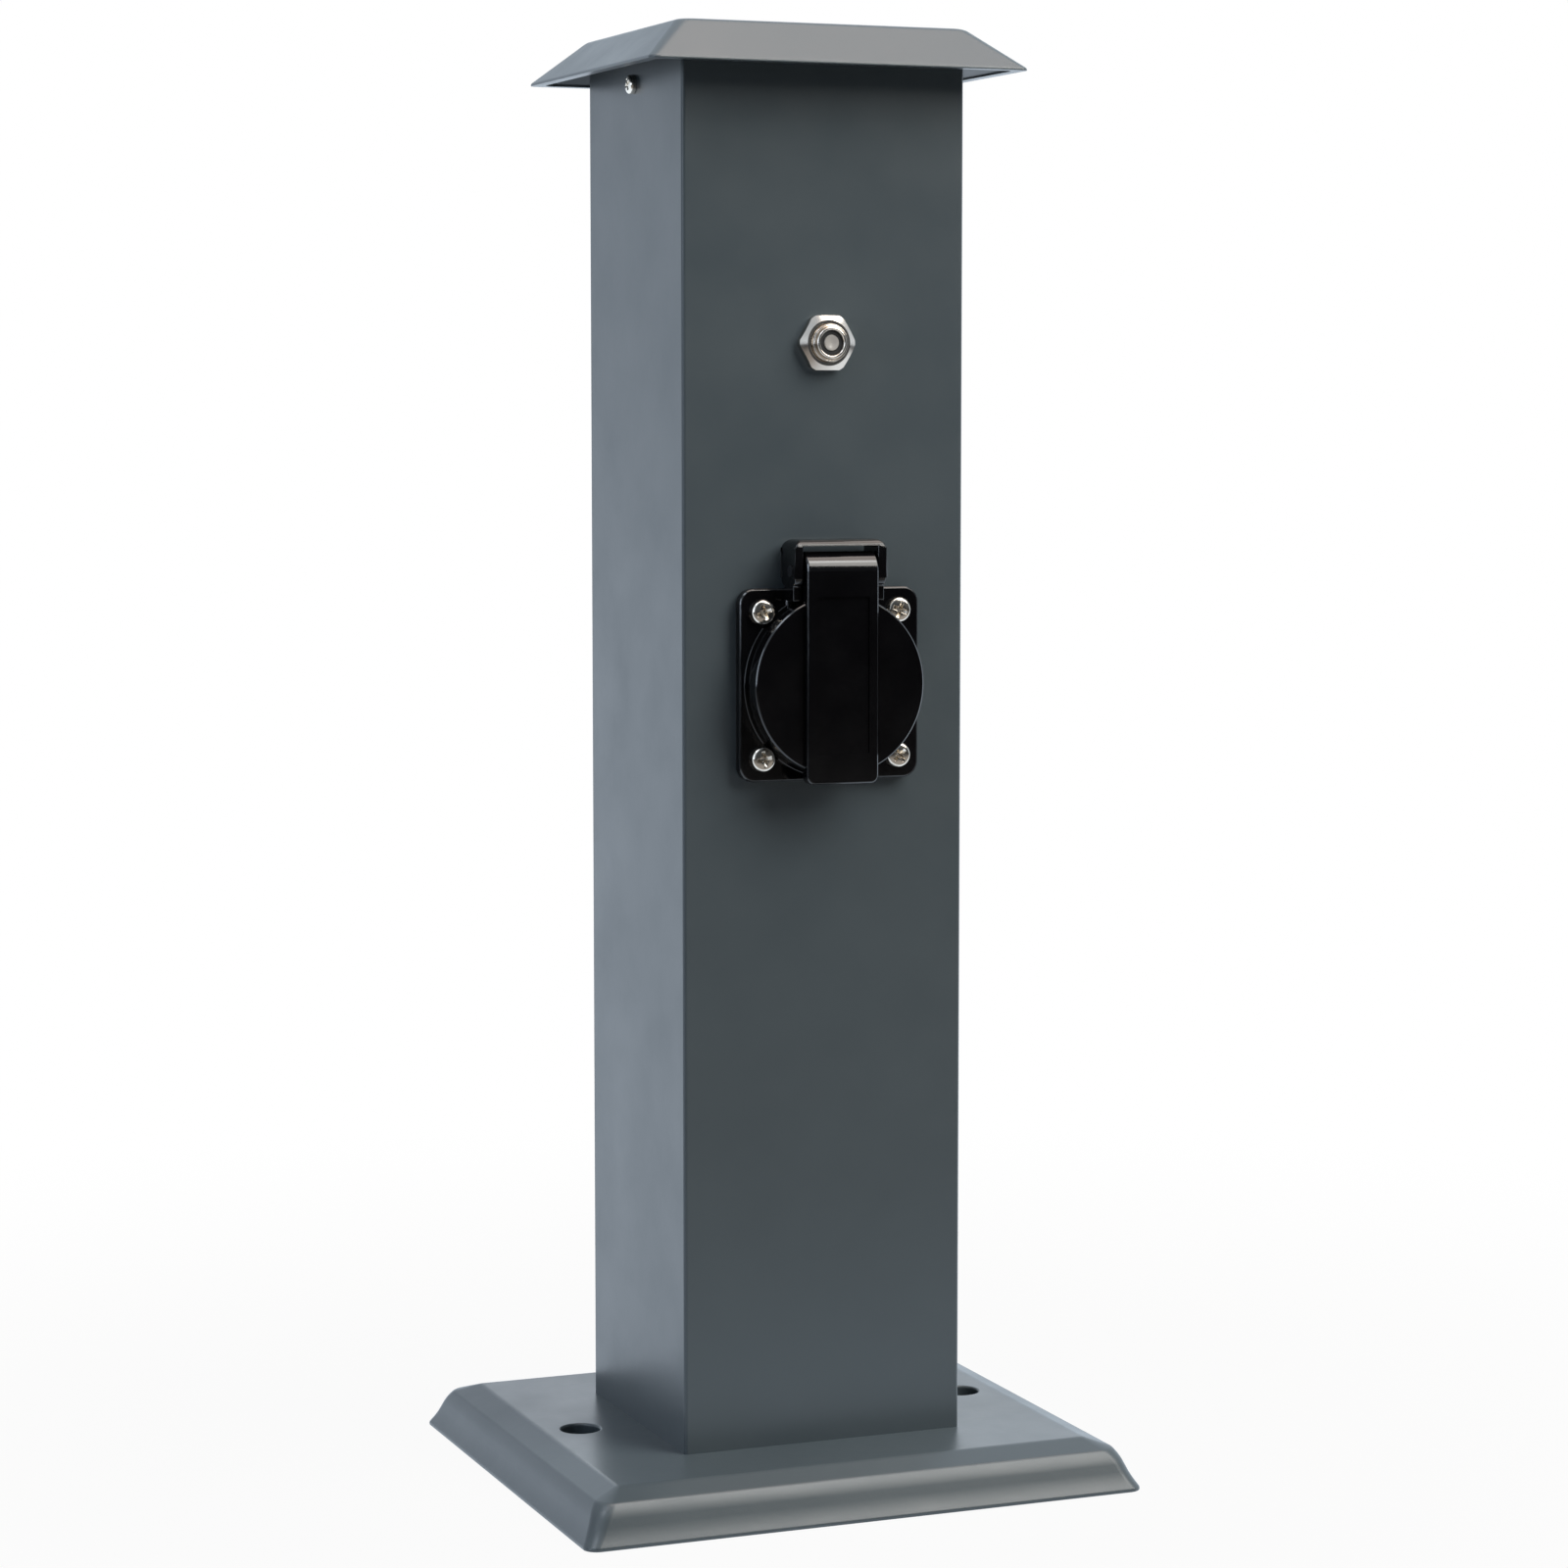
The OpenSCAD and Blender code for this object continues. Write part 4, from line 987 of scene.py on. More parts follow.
@dataclass
class Cap:
    """The hollow hipped cap with its tongues, and the screws that hold it."""

    height: float = 11.3
    eave_lip: float = 0.6
    eave_soft: float = 0.45
    eave_under_soft: float = 0.1
    crown_in: float = 12.2
    crown_soft: float = 1.3
    crown_run: float = 5.0
    wall_level: float = 3.174
    wall_under_soft: float = 0.2
    wall_soft: float = 0.3
    inside_h: float = 8.805
    inside_soft: float = 1.2
    inside_run: float = 3.0
    eave_corner_r: float = 2.4
    crown_corner_r: float = 3.2
    tongue_w: float = 26.0
    tongue_t: float = 2.4
    tongue_room: float = 0.2
    sink: float = 0.5
    screw_r: float = 1.5
    head_r: float = 2.5
    head_h: float = 1.9
    shank_len: float = 5.6
    turns: tuple[float, float] = (24.0, 61.0)

    def section(self) -> list[Vector]:
        """Section of the cap, as inset from the eave and height above it.

        Returns:
            Points from under the crown, down the inside to the eave, and up the outside.
        """
        slope = self.crown_in / (self.height - self.eave_lip)
        inside_in = self.wall_level + (self.inside_h - self.eave_lip) * slope
        return soft_line([
            (inside_in + self.inside_run, self.inside_h, 0), (inside_in, self.inside_h, self.inside_soft),
            (self.wall_level, self.eave_lip, self.wall_soft), (self.wall_level, 0, self.wall_under_soft),
            (0, 0, self.eave_under_soft), (0, self.eave_lip, self.eave_soft),
            (self.crown_in, self.height, self.crown_soft), (self.crown_in + self.crown_run, self.height, 0)],
            FINE_ROUNDING_STEPS)

    def build(self) -> None:
        """Build the cap, its tongues and its screws."""
        extent = Extent.of("roof_cap")
        eave = extent.high.z - self.height
        rings = [rounded_ring(extent.half.x - p.x, extent.half.y - p.x, self.radius(p.x), eave + p.y)
                 for p in self.section()]
        cap = piece("cap_shell", loft(rings))
        screws = Extent.of("cap_screws")
        combine(cap, joined(self.tongues(extent.low.z, eave + self.inside_h + self.sink)), Cut.ADD)
        drill = rod(self.screw_r, -extent.half.x, extent.half.x, SMALL_DRILL_STEPS)
        combine(cap, placed(drill, along_x(0, 0, screws.mid.z)), Cut.REMOVE)
        shade(cap, SHELL_EDGE)
        stand_in(cap, "roof_cap", Body.POST, POWDER_COAT)
        self.build_screws(screws.mid.z)

    def radius(self, inset: float) -> float:
        """Radius of the cap's corners at an inset, seen from above, which grows from eave to crown."""
        t = min(inset / self.crown_in, 1.0)
        return self.eave_corner_r + t * (self.crown_corner_r - self.eave_corner_r)

    def tongues(self, low: float, high: float) -> list[bmesh.types.BMesh]:
        """Four tongues that reach down inside the post.

        Args:
            low: height of their lower ends.
            high: height of their upper ends, sunk into the crown.
        Returns:
            Their meshes.
        """
        post = Extent.of("post_tube").half
        made = []
        for side in (-1, 1):
            for across, reach in (("x", post.x), ("y", post.y)):
                flat = Vector((side * (reach - POST_WALL - self.tongue_room - self.tongue_t / 2), 0))
                half = Vector((self.tongue_t, self.tongue_w)) / 2
                if across == "y":
                    flat = flat.yx
                    half = half.yx
                a = flat - half
                b = flat + half
                made.append(box(Vector((a.x, a.y, low)), Vector((b.x, b.y, high))))
        return made

    def build_screws(self, z: float) -> None:
        """Build the two cap screws.

        Args:
            z: their height.
        """
        screw = CrossScrew(self.head_r, self.head_h, self.screw_r, self.shank_len)
        face = Extent.of("post_tube").half.x
        meshes = []
        for side, turn in zip((-1, 1), self.turns):
            spot = Matrix.Translation((side * face, 0, z)) @ Matrix.Rotation(math.radians(90 * side), 4, "Y")
            meshes.append(placed(screw.mesh(turn), spot))
        screws = piece("cap_screw_pair", joined(meshes))
        shade(screws)
        stand_in(screws, "cap_screws", Body.POST, NICKEL_HEADED)


@dataclass
class Socket:
    """The mains socket's fixed pieces: flange, well, hinge bracket, contacts and screws."""

    axis_y: float
    axis_z: float
    back: float = 0.8
    flange_half: float = 25.0
    flange_r: float = 4.0
    flange_front: float = 3.7
    flange_edge: float = 0.4
    collar_r: float = 22.3
    collar_front: float = 8.1
    collar_soft: float = 0.4
    collar_lap: float = 0.4
    ring_r: float = 24.3
    ring_front: float = 4.9
    ring_soft: float = 0.3
    ring_lap: float = 0.3
    ring_room: float = 4.15
    well_r: float = 19.75
    well_edge: float = 0.35
    well_soft: float = 0.1
    cup_r: float = 21.15
    cup_back: float = -12.4
    cup_soft: float = 0.3
    cup_lap: float = 0.5
    bracket_half: float = 12.7
    bracket_edge: float = 0.5
    bracket_segments: int = 4
    ear_t: float = 2.3
    ear_back: float = 1.2
    ear_front: float = 11.3
    ear_foot: float = 25.6
    ear_r: float = 2.2
    hood_under: float = 36.1
    hood_top: float = 37.7
    hood_r: float = 2.6
    stem_front: float = 10.0
    stem_foot: float = 21.77
    stem_h: float = 8.0
    stem_lap: float = 0.5
    toe: float = 5.0
    toe_lap: float = 0.5
    toe_rise: float = 0.15
    pin_hole_r: float = 1.55
    hole_r: float = 2.2
    hole_top: float = 5.0
    head_r: float = 3.25
    head_h: float = 2.2
    shank_r: float = 2.0
    shank_len: float = 10.7
    turns: tuple[float, float, float, float] = (20.0, 68.0, 12.0, 40.0)

    def build(self) -> None:
        """Build the body and the flange's screws and dress the rest."""
        self.build_body()
        self.build_screws()
        dress({"socket_gasket": RUBBER, "socket_nuts": ZINC_PLATE, "contact_carrier": DARK_PHENOLIC,
               "line_contacts": BRASS, "earth_contact": NICKEL_HEADED, "contact_screws": ZINC_PLATE})

    def screw_spots(self) -> list[tuple[float, float]]:
        """Places of the four flange screws about the well's middle."""
        half = FLANGE_SCREW_PITCH / 2
        return [(-half, half), (half, half), (-half, -half), (half, -half)]

    def build_body(self) -> None:
        """Build the flange with its ring, collar, well and hinge bracket, drawn facing up."""
        middle = socket_middle()
        past = CUT_PAST / 2
        body = piece("socket_shell", slab(self.flange_half, self.flange_half, self.flange_r, self.back,
                                          self.flange_front, self.flange_edge))
        # The ring, the cup and the collar start at different depths in the flange, so that no two faces meet
        low = self.back + self.ring_lap
        ring = piece("ring", lathe(soft_line([
            (0, low, 0), (self.ring_r, low, 0), (self.ring_r, self.ring_front, self.ring_soft),
            (0, self.ring_front, 0)])))
        spots = [Matrix.Translation((x, up, 0)) for x, up in self.screw_spots()]
        rooms = [placed(rod(self.ring_room, 0, 2 * self.ring_front, SMALL_TURN_STEPS), spot)
                 for spot in spots]
        combine(ring, joined(rooms), Cut.REMOVE)
        combine(body, taken(ring), Cut.ADD)
        high = self.back + self.cup_lap
        combine(body, lathe(soft_line([
            (0, self.cup_back, 0), (self.cup_r, self.cup_back, self.cup_soft), (self.cup_r, high, 0),
            (0, high, 0)])), Cut.ADD)
        low = self.back + self.collar_lap
        combine(body, lathe(soft_line([
            (0, low, 0), (self.collar_r, low, 0), (self.collar_r, self.collar_front, self.collar_soft),
            (0, self.collar_front, 0)])), Cut.ADD)
        mouth = self.well_r + self.well_edge
        bore = soft_line([
            (0, self.cup_back - past, 0), (self.well_r, self.cup_back - past, 0),
            (self.well_r, self.collar_front - self.well_edge, self.well_soft),
            (mouth, self.collar_front, self.well_soft), (mouth + past, self.collar_front + past, 0),
            (0, self.collar_front + past, 0)])
        combine(body, lathe(bore, WIDE_TURN_STEPS), Cut.REMOVE)
        holes = [placed(rod(self.hole_r, -past, self.hole_top, SMALL_DRILL_STEPS), spot) for spot in spots]
        combine(body, joined(holes), Cut.REMOVE)
        # The bracket keeps its own closed skin, sunk into the flange and the ring
        body = piece("socket_shell", joined([taken(body), self.bracket(middle)]))
        move(body, on_front(0, POST_FACE, middle))
        shade(body)
        stand_in(body, "socket_body", Body.POST, BLACK_POLYAMIDE)

    def bracket(self, middle: float) -> bmesh.types.BMesh:
        """The hinge bracket: two ears under a hood, on stems that reach down to the ring.

        Args:
            middle: height of the well's middle in the scene.
        Returns:
            Its mesh, drawn facing up.
        """
        low = self.stem_foot - self.stem_h
        mid = (self.hood_top + low) / 2
        inner = self.bracket_half - self.ear_t
        sheet = piece("bracket", placed(
            slab(self.bracket_half, self.hood_top - mid, self.hood_r, self.ear_back, self.ear_front,
                 NO_BEVEL),
            Matrix.Translation((0, mid, 0))))
        between = box(Vector((-inner, -self.hood_under, -CUT_PAST / 2)),
                      Vector((inner, self.hood_under, 2 * self.ear_front)))
        combine(sheet, between, Cut.REMOVE)
        # Seen from the side, the ears are rounded plates and the stems are narrower
        reach = 2 * self.bracket_half
        ears = piece("ears", placed(
            slab((self.ear_front - self.ear_back) / 2, (self.hood_top - self.ear_foot) / 2, self.ear_r,
                 -reach, reach, NO_BEVEL),
            along_x(0, (self.hood_top + self.ear_foot) / 2, (self.ear_front + self.ear_back) / 2)))
        stems = box(Vector((-reach, self.stem_foot, self.flange_front - self.stem_lap)),
                    Vector((reach, self.stem_foot + self.stem_h, self.stem_front)))
        combine(ears, stems, Cut.ADD)
        combine(sheet, taken(ears), Cut.SHARE)
        round_edges(sheet, self.bracket_edge, segments=self.bracket_segments)
        pin = rod(self.pin_hole_r, -reach, reach, SMALL_DRILL_STEPS)
        pin_place = along_x(0, self.axis_z - middle, POST_FACE - self.axis_y)
        combine(sheet, placed(pin, pin_place), Cut.REMOVE)
        return joined([taken(sheet)] + [self.one_toe(side) for side in (-1, 1)])

    def one_toe(self, side: int) -> bmesh.types.BMesh:
        """The toe of a stem, which lies on the ring.

        Args:
            side: -1 for the left stem, and 1 for the right one.
        Returns:
            Its mesh, drawn facing up and sunk into the flange.
        """
        half_t = self.ear_t / 2
        toe = slab(half_t, (self.toe + self.toe_lap) / 2, self.bracket_edge, self.flange_front - self.toe_lap,
                   self.ring_front + self.toe_rise, self.bracket_edge)
        return placed(toe, Matrix.Translation((side * (self.bracket_half - half_t),
                                               self.stem_foot + (self.toe_lap - self.toe) / 2, 0)))

    def build_screws(self) -> None:
        """Build the four screws of the flange."""
        extent = Extent.of("socket_screws")
        seat = extent.low.y + self.head_h
        screw = CrossScrew(self.head_r, self.head_h, self.shank_r, self.shank_len)
        meshes = [placed(screw.mesh(turn), on_front(x, seat, extent.mid.z + up))
                  for (x, up), turn in zip(self.screw_spots(), self.turns)]
        screws = piece("flange_screw_set", joined(meshes))
        shade(screws)
        stand_in(screws, "socket_screws", Body.POST, NICKEL_HEADED)


@dataclass
class Lid:
    """The sprung lid, its seal, its pin and its spring."""

    axis_y: float
    axis_z: float
    disc_r: float = 23.5
    rim_t: float = 0.7
    rim_soft: float = 0.15
    back: float = 5.2
    inside: float = 9.1
    inside_soft: float = 0.3
    front: float = 11.1
    edge: float = 0.4
    edge_soft: float = 0.1
    strap_half: float = 9.9
    strap_low: float = -25.4
    strap_back: float = 9.4
    strap_front: float = 13.0
    strap_r: float = 2.0
    barrel_r: float = 5.0
    pin_hole_r: float = 1.56
    slot_half: float = 3.56
    slot_r: float = 3.35
    panel_half_w: float = 7.3
    panel_half_h: float = 20.25
    panel_r: float = 0.3
    panel_up: float = 2.7
    panel_deep: float = 0.4
    wire_r: float = 0.35
    coil_r: float = 2.5
    coil_turns: float = 4.5
    coil_pitch: float = 1.16
    leg_drop: float = 4.15
    leg_back: float = 5.3
    leg_reach: float = 2.6
    coil_steps: int = 24
    wire_sides: int = 12

    def build(self) -> None:
        """Build the lid and the spring and dress the rest."""
        self.build_lid()
        dress({"lid_seal": RUBBER, "hinge_pin": BLACK_STEEL})
        spring = piece("hinge_spring", sweep(self.spring_path(), self.wire_r, self.wire_sides))
        shade(spring, WIRE_EDGE)
        # The coil's ends on the hinge's axis go with the lid's body to stand_in, which keeps the spring where
        # it is built
        reach = Vector((self.coil_turns * self.coil_pitch / 2 - self.wire_r, 0, 0))
        axis = Vector((0, self.axis_y, self.axis_z))
        stand_in(spring, "lid_spring", Body.POST, SPRING_STEEL, (Body.LID, axis - reach, axis + reach))

    def build_lid(self) -> None:
        """Build the disc, its strap and the hinge barrel, drawn facing up."""
        middle = socket_middle()
        up = self.axis_z - middle
        out = POST_FACE - self.axis_y
        edge = self.edge
        soft = self.edge_soft
        inner = self.disc_r - self.rim_t
        lid = piece("lid_shell", lathe(soft_line([
            (0, self.inside, 0), (inner, self.inside, self.inside_soft), (inner, self.back, soft),
            (self.disc_r, self.back, self.rim_soft), (self.disc_r, self.front - edge, soft),
            (self.disc_r - edge, self.front, soft), (0, self.front, 0)]), LID_STEPS))
        w = self.strap_half
        r = self.barrel_r
        # The strap is drawn too long and cut off at the hinge's axis, where its face meets the barrel's
        strap = piece("strap", placed(
            slab(w, (up + r - self.strap_low) / 2, self.strap_r, self.strap_back, self.strap_front, edge),
            Matrix.Translation((0, (up + r + self.strap_low) / 2, 0))))
        above = box(Vector((-2 * w, up, 0)), Vector((2 * w, up + 2 * r, 2 * self.strap_front)))
        combine(strap, above, Cut.REMOVE)
        combine(lid, taken(strap), Cut.ADD)
        panel = loft([rounded_ring(self.panel_half_w, self.panel_half_h, self.panel_r, z)
                      for z in (self.strap_front - self.panel_deep, self.strap_front + CUT_PAST / 2)])
        combine(lid, placed(panel, Matrix.Translation((0, self.panel_up, 0))), Cut.REMOVE)
        along = along_x(0, up, out)
        barrel = lathe(soft_line([(0, -w, 0), (r - edge, -w, soft), (r, edge - w, soft), (r, w - edge, soft),
                                  (r - edge, w, soft), (0, w, 0)]), WIDE_TURN_STEPS)
        combine(lid, placed(barrel, along), Cut.ADD)
        combine(lid, placed(rod(self.pin_hole_r, -2 * w, 2 * w, DRILL_STEPS), along), Cut.REMOVE)
        combine(lid, placed(self.spring_slot(), along), Cut.REMOVE)
        move(lid, on_front(0, POST_FACE, middle))
        shade(lid)
        stand_in(lid, "socket_lid", Body.LID, BLACK_POLYAMIDE)

    def spring_slot(self) -> bmesh.types.BMesh:
        """Cutter for the spring's room in the barrel: round in front, and open at the back and below.

        Returns:
            A closed mesh, drawn about the Z axis.
        """
        far = self.barrel_r + CUT_PAST / 2
        turns = [math.radians(90 + 180 * k / self.coil_steps) for k in range(self.coil_steps + 1)]
        line = [(self.slot_r * math.cos(a), self.slot_r * math.sin(a)) for a in turns]
        line = [(far, self.slot_r)] + line + [(0, -far), (far, -far)]
        return loft([[Vector((x, y, z)) for x, y in line] for z in (-self.slot_half, self.slot_half)])

    def spring_path(self) -> list[Vector]:
        """Middle line of the spring's wire: a leg on the flange, the turns, and a leg under the barrel.

        Returns:
            Points in the object's own place.
        """
        length = self.coil_turns * self.coil_pitch
        steps = int(self.coil_turns * self.coil_steps)
        turns = []
        for i in range(steps + 1):
            angle = math.radians(360 * i / self.coil_steps - 90)
            turns.append(Vector((length * (i / steps - 0.5), self.axis_y - self.coil_r * math.cos(angle),
                                 self.axis_z + self.coil_r * math.sin(angle))))
        low = Vector((-length / 2, self.axis_y + self.leg_back, self.axis_z - self.leg_drop))
        high = turns[-1] + Vector((0, self.leg_reach, 0))
        return [low] + turns + [high]


@dataclass
class Breaker:
    """The overload breaker: nut, neck, button, case and tabs."""

    nut_face_r: float = 5.9
    nut_corner_r: float = 7.7
    nut_steps: int = 240
    nut_bore_r: float = 4.9
    nut_bore_edge: float = 0.2
    chamfer: float = 30.0
    neck_r: float = 4.85
    neck_soft: float = 0.3
    bore_r: float = 3.05
    rim_drop: float = 1.0
    rim_soft: float = 0.25
    step_in: float = 0.35
    step_soft: float = 0.15
    groove_deep: float = 0.3
    groove_soft: float = 0.1
    lip_r: float = 4.15
    lip_soft: float = 0.55
    mouth_in: float = 0.35
    mouth_soft: float = 0.35
    throat_deep: float = 0.9
    throat_soft: float = 0.4
    button_r: float = 2.05
    button_soft: float = 0.3
    dish_r: float = 0.75
    dish_soft: float = 0.4
    dish_deep: float = 0.35
    stop_r: float = 2.95
    stop_t: float = 2.0
    stop_soft: float = 0.2

    def build(self) -> None:
        """Build the nut, the neck and the button and dress the rest."""
        self.build_nut()
        self.build_neck()
        self.build_button()
        dress({"breaker_body": DARK_PHENOLIC, "breaker_tabs": BRASS})

    def build_nut(self) -> None:
        """Build the hexagon nut, whose corners are turned off to a cone."""
        extent = Extent.of("breaker_nut")
        thick = 2 * extent.half.y
        slope = math.tan(math.radians(self.chamfer))
        side = math.radians(60)
        turns = [math.radians(360 * k / self.nut_steps) for k in range(self.nut_steps)]
        reach = [min(extent.half.z / math.cos(a % side - side / 2), self.nut_corner_r) for a in turns]

        def ring(radii: Sequence[float], heights: Sequence[float]) -> list[Vector]:
            """Points about the axis at these radii and heights."""
            return [Vector((r * math.cos(a), r * math.sin(a), z)) for a, r, z in zip(turns, radii, heights)]

        count = self.nut_steps
        shoulder = [thick - (r - self.nut_face_r) * slope for r in reach]
        bore = self.nut_bore_r
        edge = self.nut_bore_edge
        back = [0.0] * count
        face = [thick] * count
        rings = [ring([bore] * count, back), ring(reach, back), ring(reach, shoulder),
                 ring([self.nut_face_r] * count, face), ring([bore + edge] * count, face),
                 ring([bore] * count, [thick - edge] * count)]
        nut = piece("hexagon_nut", placed(loft(rings, True), on_front(0, extent.high.y, extent.mid.z)))
        shade(nut, NUT_EDGE)
        stand_in(nut, "breaker_nut", Body.POST, NICKEL_TURNED)

    def build_neck(self) -> None:
        """Build the neck: a round rim, a step and a rolled lip about the bore."""
        extent = Extent.of("breaker_neck")
        front = extent.high.y - extent.low.y
        rim = front - self.rim_drop
        r = self.neck_r
        bore = self.bore_r
        line = soft_line([
            (bore, 0, 0), (r, 0, self.neck_soft), (r, rim, self.rim_soft),
            (r - self.step_in, rim, self.step_soft), (self.lip_r, rim - self.groove_deep, self.groove_soft),
            (self.lip_r, front, self.lip_soft), (bore + self.mouth_in, front, self.mouth_soft),
            (bore, front - self.throat_deep, self.throat_soft), (bore, 0, 0)])
        bush = placed(lathe(line, WIDE_TURN_STEPS), on_front(0, extent.high.y, extent.mid.z))
        neck = piece("breaker_bush", bush)
        shade(neck)
        stand_in(neck, "breaker_neck", Body.POST, NICKEL_TURNED)

    def build_button(self) -> None:
        """Build the reset button with its dished end and its stop."""
        extent = Extent.of("reset_button")
        front = extent.high.y - extent.low.y
        r = self.button_r
        line = soft_line([
            (0, 0, 0), (self.stop_r, 0, self.stop_soft), (self.stop_r, self.stop_t, self.stop_soft),
            (r, self.stop_t, 0), (r, front, self.button_soft), (self.dish_r * r, front, self.dish_soft),
            (0, front - self.dish_deep, 0)])
        knob = placed(lathe(line, SMALL_TURN_STEPS), on_front(0, extent.high.y, extent.mid.z))
        button = piece("breaker_button", knob)
        shade(button)
        stand_in(button, "reset_button", Body.BUTTON, GREY_POLYCARBONATE)


@dataclass
class Wiring:
    """The terminal block on its bracket, and the five wires inside the post."""

    wire_r: float = 1.4
    clamp_inset_r: float = 3.0
    supply_leave: float = 130.0
    supply_arrive: float = 34.0
    link_leave: float = 16.0
    link_arrive: float = 30.0
    rise_leave: float = 60.0
    rise_arrive: float = 50.0
    bond_leave: float = 14.0
    bond_arrive: float = 12.0
    contact_head: float = 7.0
    earth_head_h: float = 8.0
    tab_t: float = 0.8
    lug_barrel_r: float = 1.6
    steps: int = 64
    sides: int = 16
    stripe_sides: int = 5

    def build(self) -> None:
        """Build the wires and dress the rest."""
        dress({"terminal_bracket": ZINC_PLATE, "bracket_screws": ZINC_PLATE,
               "terminal_block": WHITE_POLYAMIDE, "block_screws": ZINC_PLATE, "block_clamps": BRASS,
               "clamp_screws": ZINC_PLATE, "bond_lug": NICKEL_HEADED})
        clamps = Extent.of("block_clamps")
        tabs = Extent.of("breaker_tabs")
        heads = Extent.of("line_contacts")
        lug = Extent.of("bond_lug")
        pole = clamps.half.x - self.clamp_inset_r
        top = clamps.high.z
        head_y = heads.high.y - self.contact_head / 2
        head_x = heads.half.x - self.contact_head / 2
        up = Vector((0, 0, 1))
        back = Vector((0, 1, 0))
        self.wire("wire_supply_live", "supply_live_wire", PVC_BROWN,
                  Vector((-pole, clamps.mid.y, top)), up * self.supply_leave,
                  Vector((0, tabs.high.y, tabs.high.z - self.tab_t / 2)), -back * self.supply_arrive)
        self.wire("wire_socket_live", "socket_live_wire", PVC_BROWN,
                  Vector((0, tabs.high.y, tabs.low.z + self.tab_t / 2)), back * self.link_leave,
                  Vector((-head_x, head_y, heads.high.z)), -up * self.link_arrive)
        self.wire("wire_neutral", "neutral_wire", PVC_BLUE,
                  Vector((pole, clamps.mid.y, top)), up * self.rise_leave,
                  Vector((head_x, head_y, heads.low.z)), up * self.rise_arrive)
        self.wire("wire_earth", "earth_wire", PVC_GREEN,
                  Vector((0, clamps.mid.y, top)), up * self.rise_leave,
                  Vector((0, head_y, heads.mid.z - self.earth_head_h / 2)), up * self.rise_arrive)
        self.wire("wire_bond", "bond_wire", PVC_GREEN,
                  Vector((0, clamps.mid.y, clamps.low.z)), -up * self.bond_leave,
                  Vector((lug.low.x, lug.mid.y, lug.high.z - self.lug_barrel_r)),
                  Vector((self.bond_arrive, 0, 0)))

    def wire(self, name: str, node: str, finish: Finish, a: Vector, go: Vector, b: Vector,
             come: Vector) -> None:
        """Build one insulated wire on a smooth curve.

        Args:
            name: name of the piece.
            node: CAD node that it stands for.
            finish: colour of its insulation. Green wires get a yellow stripe.
            a: where it starts.
            go: how it leaves, and how far it runs straight on.
            b: where it ends.
            come: how it arrives.
        """
        p = a + go
        q = b - come
        path = []
        for i in range(self.steps + 1):
            t = i / self.steps
            s = 1 - t
            path.append(s ** 3 * a + 3 * s * s * t * p + 3 * s * t * t * q + t ** 3 * b)
        made = piece(name, sweep(path, self.wire_r, self.sides))
        made.data.materials.append(finish.material())
        if finish is PVC_GREEN:
            made.data.materials.append(PVC_YELLOW.material())
            for face in made.data.polygons[:self.steps * self.sides]:
                face.material_index = int(face.index % self.sides < self.stripe_sides)
        shade(made, WIRE_EDGE)
        stand_in(made, node, Body.POST, finish)


@dataclass(frozen=True)
class Softbox:
    """A soft lamp aimed at the object. Azimuth 0 is in front, and it grows towards the right.

    Angles are in degrees, and the distance and the sides in metres.
    """

    name: str
    azimuth: float
    elevation: float
    distance: float
    width: float
    height: float
    level: float
    tint: str

    def build(self, target: Vector) -> None:
        """Add the lamp.

        Args:
            target: point that it is aimed at, in metres.
        """
        lamp = bpy.data.lights.new(self.name, "AREA")
        lamp.shape = "RECTANGLE"
        lamp.size = self.width
        lamp.size_y = self.height
        # The power grows with the area, so that a level is as bright at any size
        lamp.energy = self.level * math.pi * self.width * self.height
        lamp.color = linear(self.tint)[:3]
        a = math.radians(self.azimuth)
        e = math.radians(self.elevation)
        away = Vector((math.sin(a) * math.cos(e), -math.cos(a) * math.cos(e), math.sin(e)))
        made = bpy.data.objects.new(self.name, lamp)
        made.location = target + self.distance * away
        made.rotation_euler = away.to_track_quat("Z", "Y").to_euler()
        made.visible_camera = False
        bpy.context.scene.collection.objects.link(made)


